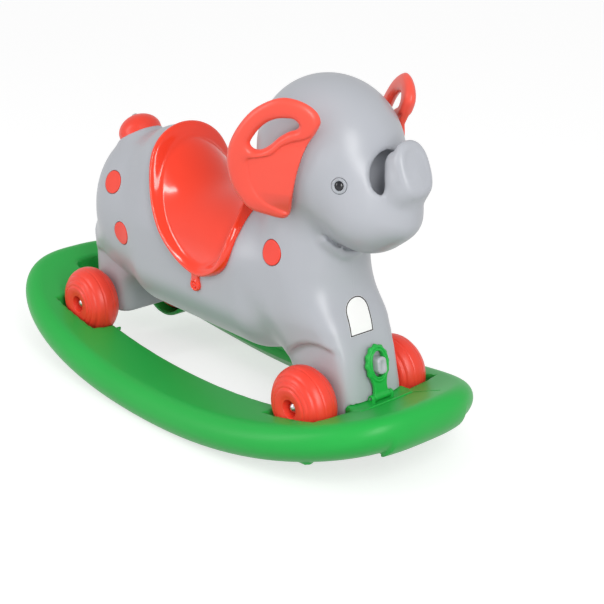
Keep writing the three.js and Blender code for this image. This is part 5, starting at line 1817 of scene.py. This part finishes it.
        def shape(q: Array) -> Array:
            """Distance to the lugs, across, up and out of the front."""
            along, up = q[..., 2], q[..., 1]
            crown = np.hypot(along, up) - self.lug_radius
            post = np.maximum(np.abs(along) - self.lug_radius - self.lug_flare * np.maximum(-up, 0.0), up)
            outline = np.minimum(crown, post)
            slab = np.abs(np.abs(q[..., 0]) - self.lug_y) - self.lug_half
            lug = np.maximum(rounded_edge(outline, slab, self.lug_edge), -up - self.lug_foot)
            return carve(lug, np.hypot(along, up) - self.lug_bore, self.bore_edge)

        place = Place.facing((hinge_x, 0.0, hinge_z), (1.0, 0.0, 0.0))
        return place.net("latch_lugs", shape, (-21.0, -14.0, -9.0), (21.0, 7.0, 9.0))

    def build(self) -> None:
        """Make the moulding, the thin line in its deck and the latch's lugs."""
        moulding = moulding_in(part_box("rocker_base"), "rocker_moulding", self.shape, self.cell)
        cut(moulding, [self.groove_cutter()])
        seat(moulding, ROCKER_GREEN, "rocker", ["rocker_base"])
        seat(self.lugs(), ROCKER_GREEN, "rocker")
        seat(self.deck_lip(), ROCKER_GREEN, "rocker")

    def groove_cutter(self) -> Piece:
        """A thin blade along the fine line in the deck."""
        start, end = self.groove
        side = (end - start).cross(Vector((0.0, 0.0, 1.0))).normalized() * self.groove_half
        points = [at + side * way + Vector((0.0, 0.0, level))
                  for at in (start, end) for way in (-1, 1) for level in self.groove_levels]
        faces = [(0, 1, 3, 2), (4, 6, 7, 5), (0, 4, 5, 1), (2, 3, 7, 6), (0, 2, 6, 4), (1, 5, 7, 3)]
        blade = mesh_piece("blade", np.array([tuple(point) for point in points]), faces)
        mend(blade)
        return blade

    def deck_lip(self) -> Piece:
        """The thin raised line where the flat seat of the latch meets the rising deck."""
        at_x, right, left, top = self.lip_line
        middle, half = (left + right) / 2.0, (left - right) / 2.0
        sunk = self.deck_lip_depth / 2.0

        def shape(q: Array) -> Array:
            """Distance to the line, across, up and out of the deck."""
            outline = np.maximum(np.abs(q[..., 0]) - half, np.abs(q[..., 1]) - self.deck_lip_half)
            return rounded_edge(outline, np.abs(q[..., 2] + sunk) - sunk, self.deck_lip_edge)

        place = Place.facing((at_x, middle, top), (0.0, 0.0, 1.0), (1.0, 0.0, 0.0))
        return place.net("deck_lip", shape, (-half - 2.0, -3.0, -7.0), (half + 2.0, 3.0, 2.0), 0.8)


@dataclass
class Latch:
    """The green strap that hinges on the deck and drops its ridged ring over the hook on the chest."""

    rocker: Rocker
    lean: float = 11.5
    thickness: float = 5.0
    ring: Pair = (36.5, 49.0)
    length: float = 66.0
    neck_width: float = 26.0
    waist: float = 2.4
    neck_blend: float = 4.0
    edge: float = 0.9
    slot: Pair = (17.0, 33.0)
    slot_flat: float = 0.4
    waves: int = 12
    wave_depth: float = 1.0
    ridges: Pair = (2.6, 6.4)
    ridge_rise: float = 1.6
    ridge_width_share: float = 0.9
    ridge_blend: float = 0.8
    knuckle: float = 4.5
    knuckle_edge: float = 0.6
    knuckle_blend: float = 1.5
    bore: float = 2.5
    bore_edge: float = 0.4
    hook: tuple[float, float, float, float] = (14.5, 29.0, 51.0, 6.0)
    hook_reach: float = 11.0
    hook_root: float = 18.0
    hook_edge: float = 2.6
    dimple_rise: float = 1.6
    dimple_half: Triple = (4.0, 7.6, 3.6)
    dimple_edge: float = 1.0

    def place(self) -> Place:
        """The latch's frame: across, up the strap and out of its front."""
        lean = math.radians(self.lean)
        x, z = self.rocker.hinge
        return Place.facing((x, 0.0, z), (math.cos(lean), 0.0, math.sin(lean)))

    def oval(self, q: Array, inset: float) -> Array:
        """Distance in the strap's plane to the ring's oval, drawn in by an inset."""
        half = (self.ring[0] / 2.0 - inset, self.ring[1] / 2.0 - inset)
        flat = np.stack([q[..., 0], q[..., 1] - self.length + self.ring[1] / 2.0], axis=-1)
        return ellipsoid(flat, (0.0, 0.0), half)

    def strap(self, q: Array) -> Array:
        """Distance to the latch in its own frame."""
        middle = self.length - self.ring[1] / 2.0
        turn = np.arctan2((q[..., 1] - middle) / self.ring[1], q[..., 0] / self.ring[0])
        outline = self.oval(q, 0.0) - self.wave_depth * np.cos(turn * self.waves)
        neck_top = middle - self.slot[1] / 2.0
        share = np.clip(q[..., 1] / neck_top, 0.0, 1.0)
        waist = self.neck_width / 2.0 - self.waist * np.sin(share * math.pi)
        neck = np.maximum(np.abs(q[..., 0]) - waist, np.abs(q[..., 1] - neck_top / 2.0) - neck_top / 2.0)
        half = self.thickness / 2.0
        d = rounded_edge(blend(outline, neck, self.neck_blend), np.abs(q[..., 2]) - half, self.edge)
        for inset in self.ridges:
            across = self.oval(q, inset)
            ridge = np.hypot(across, (q[..., 2] - half) * self.ridge_width_share) - self.ridge_rise
            d = blend(d, ridge, self.ridge_blend)
        from_pin = np.hypot(q[..., 1], q[..., 2])
        knuckle = rounded_edge(from_pin - self.knuckle, np.abs(q[..., 0]) - self.neck_width / 2.0,
                               self.knuckle_edge)
        d = blend(d, knuckle, self.knuckle_blend)
        half_x, half_y = self.slot[0] / 2.0, self.slot[1] / 2.0
        hole = rounded_rectangle(q, -half_x, half_x, middle - half_y, middle + half_y,
                                 half_x - self.slot_flat)
        d = carve(d, hole, self.edge)
        return carve(d, from_pin - self.bore, self.bore_edge)

    def button(self, q: Array) -> Array:
        """Distance to the hook that stands out of the chest, in the latch's frame."""
        width, bottom, top, corner = self.hook
        outline = rounded_rectangle(q, -width / 2.0, width / 2.0, bottom, top, corner)
        half = (self.hook_reach + self.hook_root) / 2.0
        d = rounded_edge(outline, np.abs(q[..., 2] - self.hook_reach + half) - half, self.hook_edge)
        middle = (0.0, (bottom + top) / 2.0, self.hook_reach + self.dimple_rise)
        return carve(d, ellipsoid(q, middle, self.dimple_half), self.dimple_edge)

    def build(self) -> None:
        """Make the latch and its hook."""
        place = self.place()
        latch = place.net("latch_strap", self.strap, (-22.0, -8.0, -7.0), (22.0, 70.0, 8.0))
        seat(latch, ROCKER_GREEN, "latch_body", ["latch"])
        hook = place.net("latch_button", self.button, (-10.0, 25.0, -21.0), (10.0, 55.0, 14.0))
        seat(hook, BODY_GREY, "elephant", ["latch_hook"])


def either_ray(tree: Tree, first: str, second: str) -> Socket:
    """One for rays of two kinds and zero for the others."""
    seen = add_node(tree, "ShaderNodeLightPath").outputs
    either = add_node(tree, "ShaderNodeMath", {"operation": "MAXIMUM"}, {0: seen[first], 1: seen[second]})
    return either.outputs[0]


@dataclass(frozen=True)
class SoftLamp:
    """A soft area lamp: where it hangs, its width and height, and its power in watts."""

    name: str
    place: Vector
    size: Pair
    watts: float

    def hang(self, target: Vector) -> None:
        """Add the lamp, aimed at a target.

        Args:
            target: The point that it faces.
        """
        light = bpy.data.lights.new(self.name, "AREA")
        light.shape = "RECTANGLE"
        light.size, light.size_y = self.size[0] * MM, self.size[1] * MM
        light.energy = self.watts
        lamp = linked(self.name, light)
        lamp.location = self.place * MM
        lamp.rotation_euler = (self.place - target).to_track_quat("Z", "Y").to_euler()


@dataclass
class Studio:
    """The photograph's view and a plain soft light."""

    azimuth: float = 48.86
    elevation: float = 21.28
    distance: float = 1925.7
    target: Vector = Vector((154.42, 0.0, 174.59))
    lens: float = 88.216
    sensor: float = 36.0
    horizon: float = 0.82
    zenith: float = 0.5
    lamps: tuple[SoftLamp, ...] = (
        SoftLamp("key", Vector((1500.0, -700.0, 950.0)), (480.0, 1150.0), 15.0),
        SoftLamp("fill", Vector((-700.0, -1500.0, 900.0)), (130.0, 1300.0), 8.0))
    floor_half: float = 12000.0
    floor_grey: float = 0.36
    floor_seen_grey: float = 0.55
    floor_glow: float = 0.63
    floor_roughness: float = 0.7

    def build(self) -> None:
        """Make the camera, the world, the lamps and the floor."""
        self.set_camera()
        self.set_world()
        for lamp in self.lamps:
            lamp.hang(self.target)
        self.lay_floor()
        bpy.context.scene.view_settings.view_transform = "Standard"

    def set_camera(self) -> None:
        """Look from where the photograph was taken."""
        camera = linked("camera", bpy.data.cameras.new("camera"))
        around, up = math.radians(self.azimuth), math.radians(self.elevation)
        back = Vector((math.sin(around) * math.cos(up), -math.cos(around) * math.cos(up), math.sin(up)))
        camera.location = (self.target + back * self.distance) * MM
        camera.rotation_euler = back.to_track_quat("Z", "Y").to_euler()
        camera.data.lens = self.lens
        camera.data.sensor_width = self.sensor
        bpy.context.scene.camera = camera

    def set_world(self) -> None:
        """Light from all round, dimmer overhead, with plain white behind the object."""
        world = bpy.data.worlds.new("studio")
        bpy.context.scene.world = world
        world.use_nodes = True
        tree = world.node_tree
        background = tree.nodes["Background"]
        direct = either_ray(tree, "Is Camera Ray", "Is Transmission Ray")
        way = add_node(tree, "ShaderNodeTexCoord").outputs["Generated"]
        height = add_node(tree, "ShaderNodeSeparateXYZ", {}, {0: way}).outputs["Z"]
        sky = add_node(tree, "ShaderNodeMapRange", {"To Min": self.horizon, "To Max": self.zenith},
                       {"Value": height})
        level = add_node(tree, "ShaderNodeMapRange", {"To Max": 1.0},
                         {"Value": direct, "To Min": sky.outputs["Result"]})
        background.inputs["Color"].default_value = (1.0, 1.0, 1.0, 1.0)
        tree.links.new(level.outputs["Result"], background.inputs["Strength"])

    def lay_floor(self) -> None:
        """A plain floor that keeps the object's shadow and looks white to the camera."""
        half = self.floor_half * MM
        corners = [(-half, -half, 0.0), (half, -half, 0.0), (half, half, 0.0), (-half, half, 0.0)]
        mesh = bpy.data.meshes.new("studio_floor")
        mesh.from_pydata(corners, [], [(0, 1, 2, 3)])
        floor = linked("studio_floor", mesh)
        material = bpy.data.materials.new("studio_white")
        material.use_nodes = True
        tree = material.node_tree
        shader = tree.nodes["Principled BSDF"]
        shader.inputs["Roughness"].default_value = self.floor_roughness
        shader.inputs["Specular IOR Level"].default_value = 0.0
        direct = either_ray(tree, "Is Camera Ray", "Is Glossy Ray")
        glow = add_node(tree, "ShaderNodeMath", {"operation": "MULTIPLY", 1: self.floor_glow}, {0: direct})
        lit, seen = ((grey, grey, grey, 1.0) for grey in (self.floor_grey, self.floor_seen_grey))
        ground = add_node(tree, "ShaderNodeMix", {"data_type": "RGBA", 6: lit, 7: seen}, {0: direct})
        tree.links.new(ground.outputs[2], shader.inputs["Base Color"])
        light = add_node(tree, "ShaderNodeEmission", {}, {"Strength": glow.outputs[0]})
        both = add_node(tree, "ShaderNodeAddShader", {}, {0: shader.outputs[0], 1: light.outputs[0]})
        tree.links.new(both.outputs[0], tree.nodes["Material Output"].inputs["Surface"])
        mesh.materials.append(material)


def main() -> None:
    """Build the sub-assemblies in order and dress the frame's own pieces."""
    logging.basicConfig(level=logging.INFO, format="%(name)s: %(message)s")
    Studio().build()
    chassis = Chassis(Turnery())
    chassis.build()
    elephant = Elephant(chassis)
    saddle = Saddle(elephant)
    elephant.under_saddle = saddle.under
    elephant.build()
    TailCap(elephant).build()
    saddle.build()
    for side in Side:
        Ear(elephant, side).build()
    Label(elephant).build()
    rocker = Rocker(chassis)
    rocker.build()
    Latch(rocker).build()
    for part in frame["record"]["subparts"]:
        if part["material_slot"] == "bright_steel":
            node = frame["nodes"][part["node"]]
            node.data.materials.clear()
            node.data.materials.append(STEEL.material())


if __name__ == "__main__":
    main()
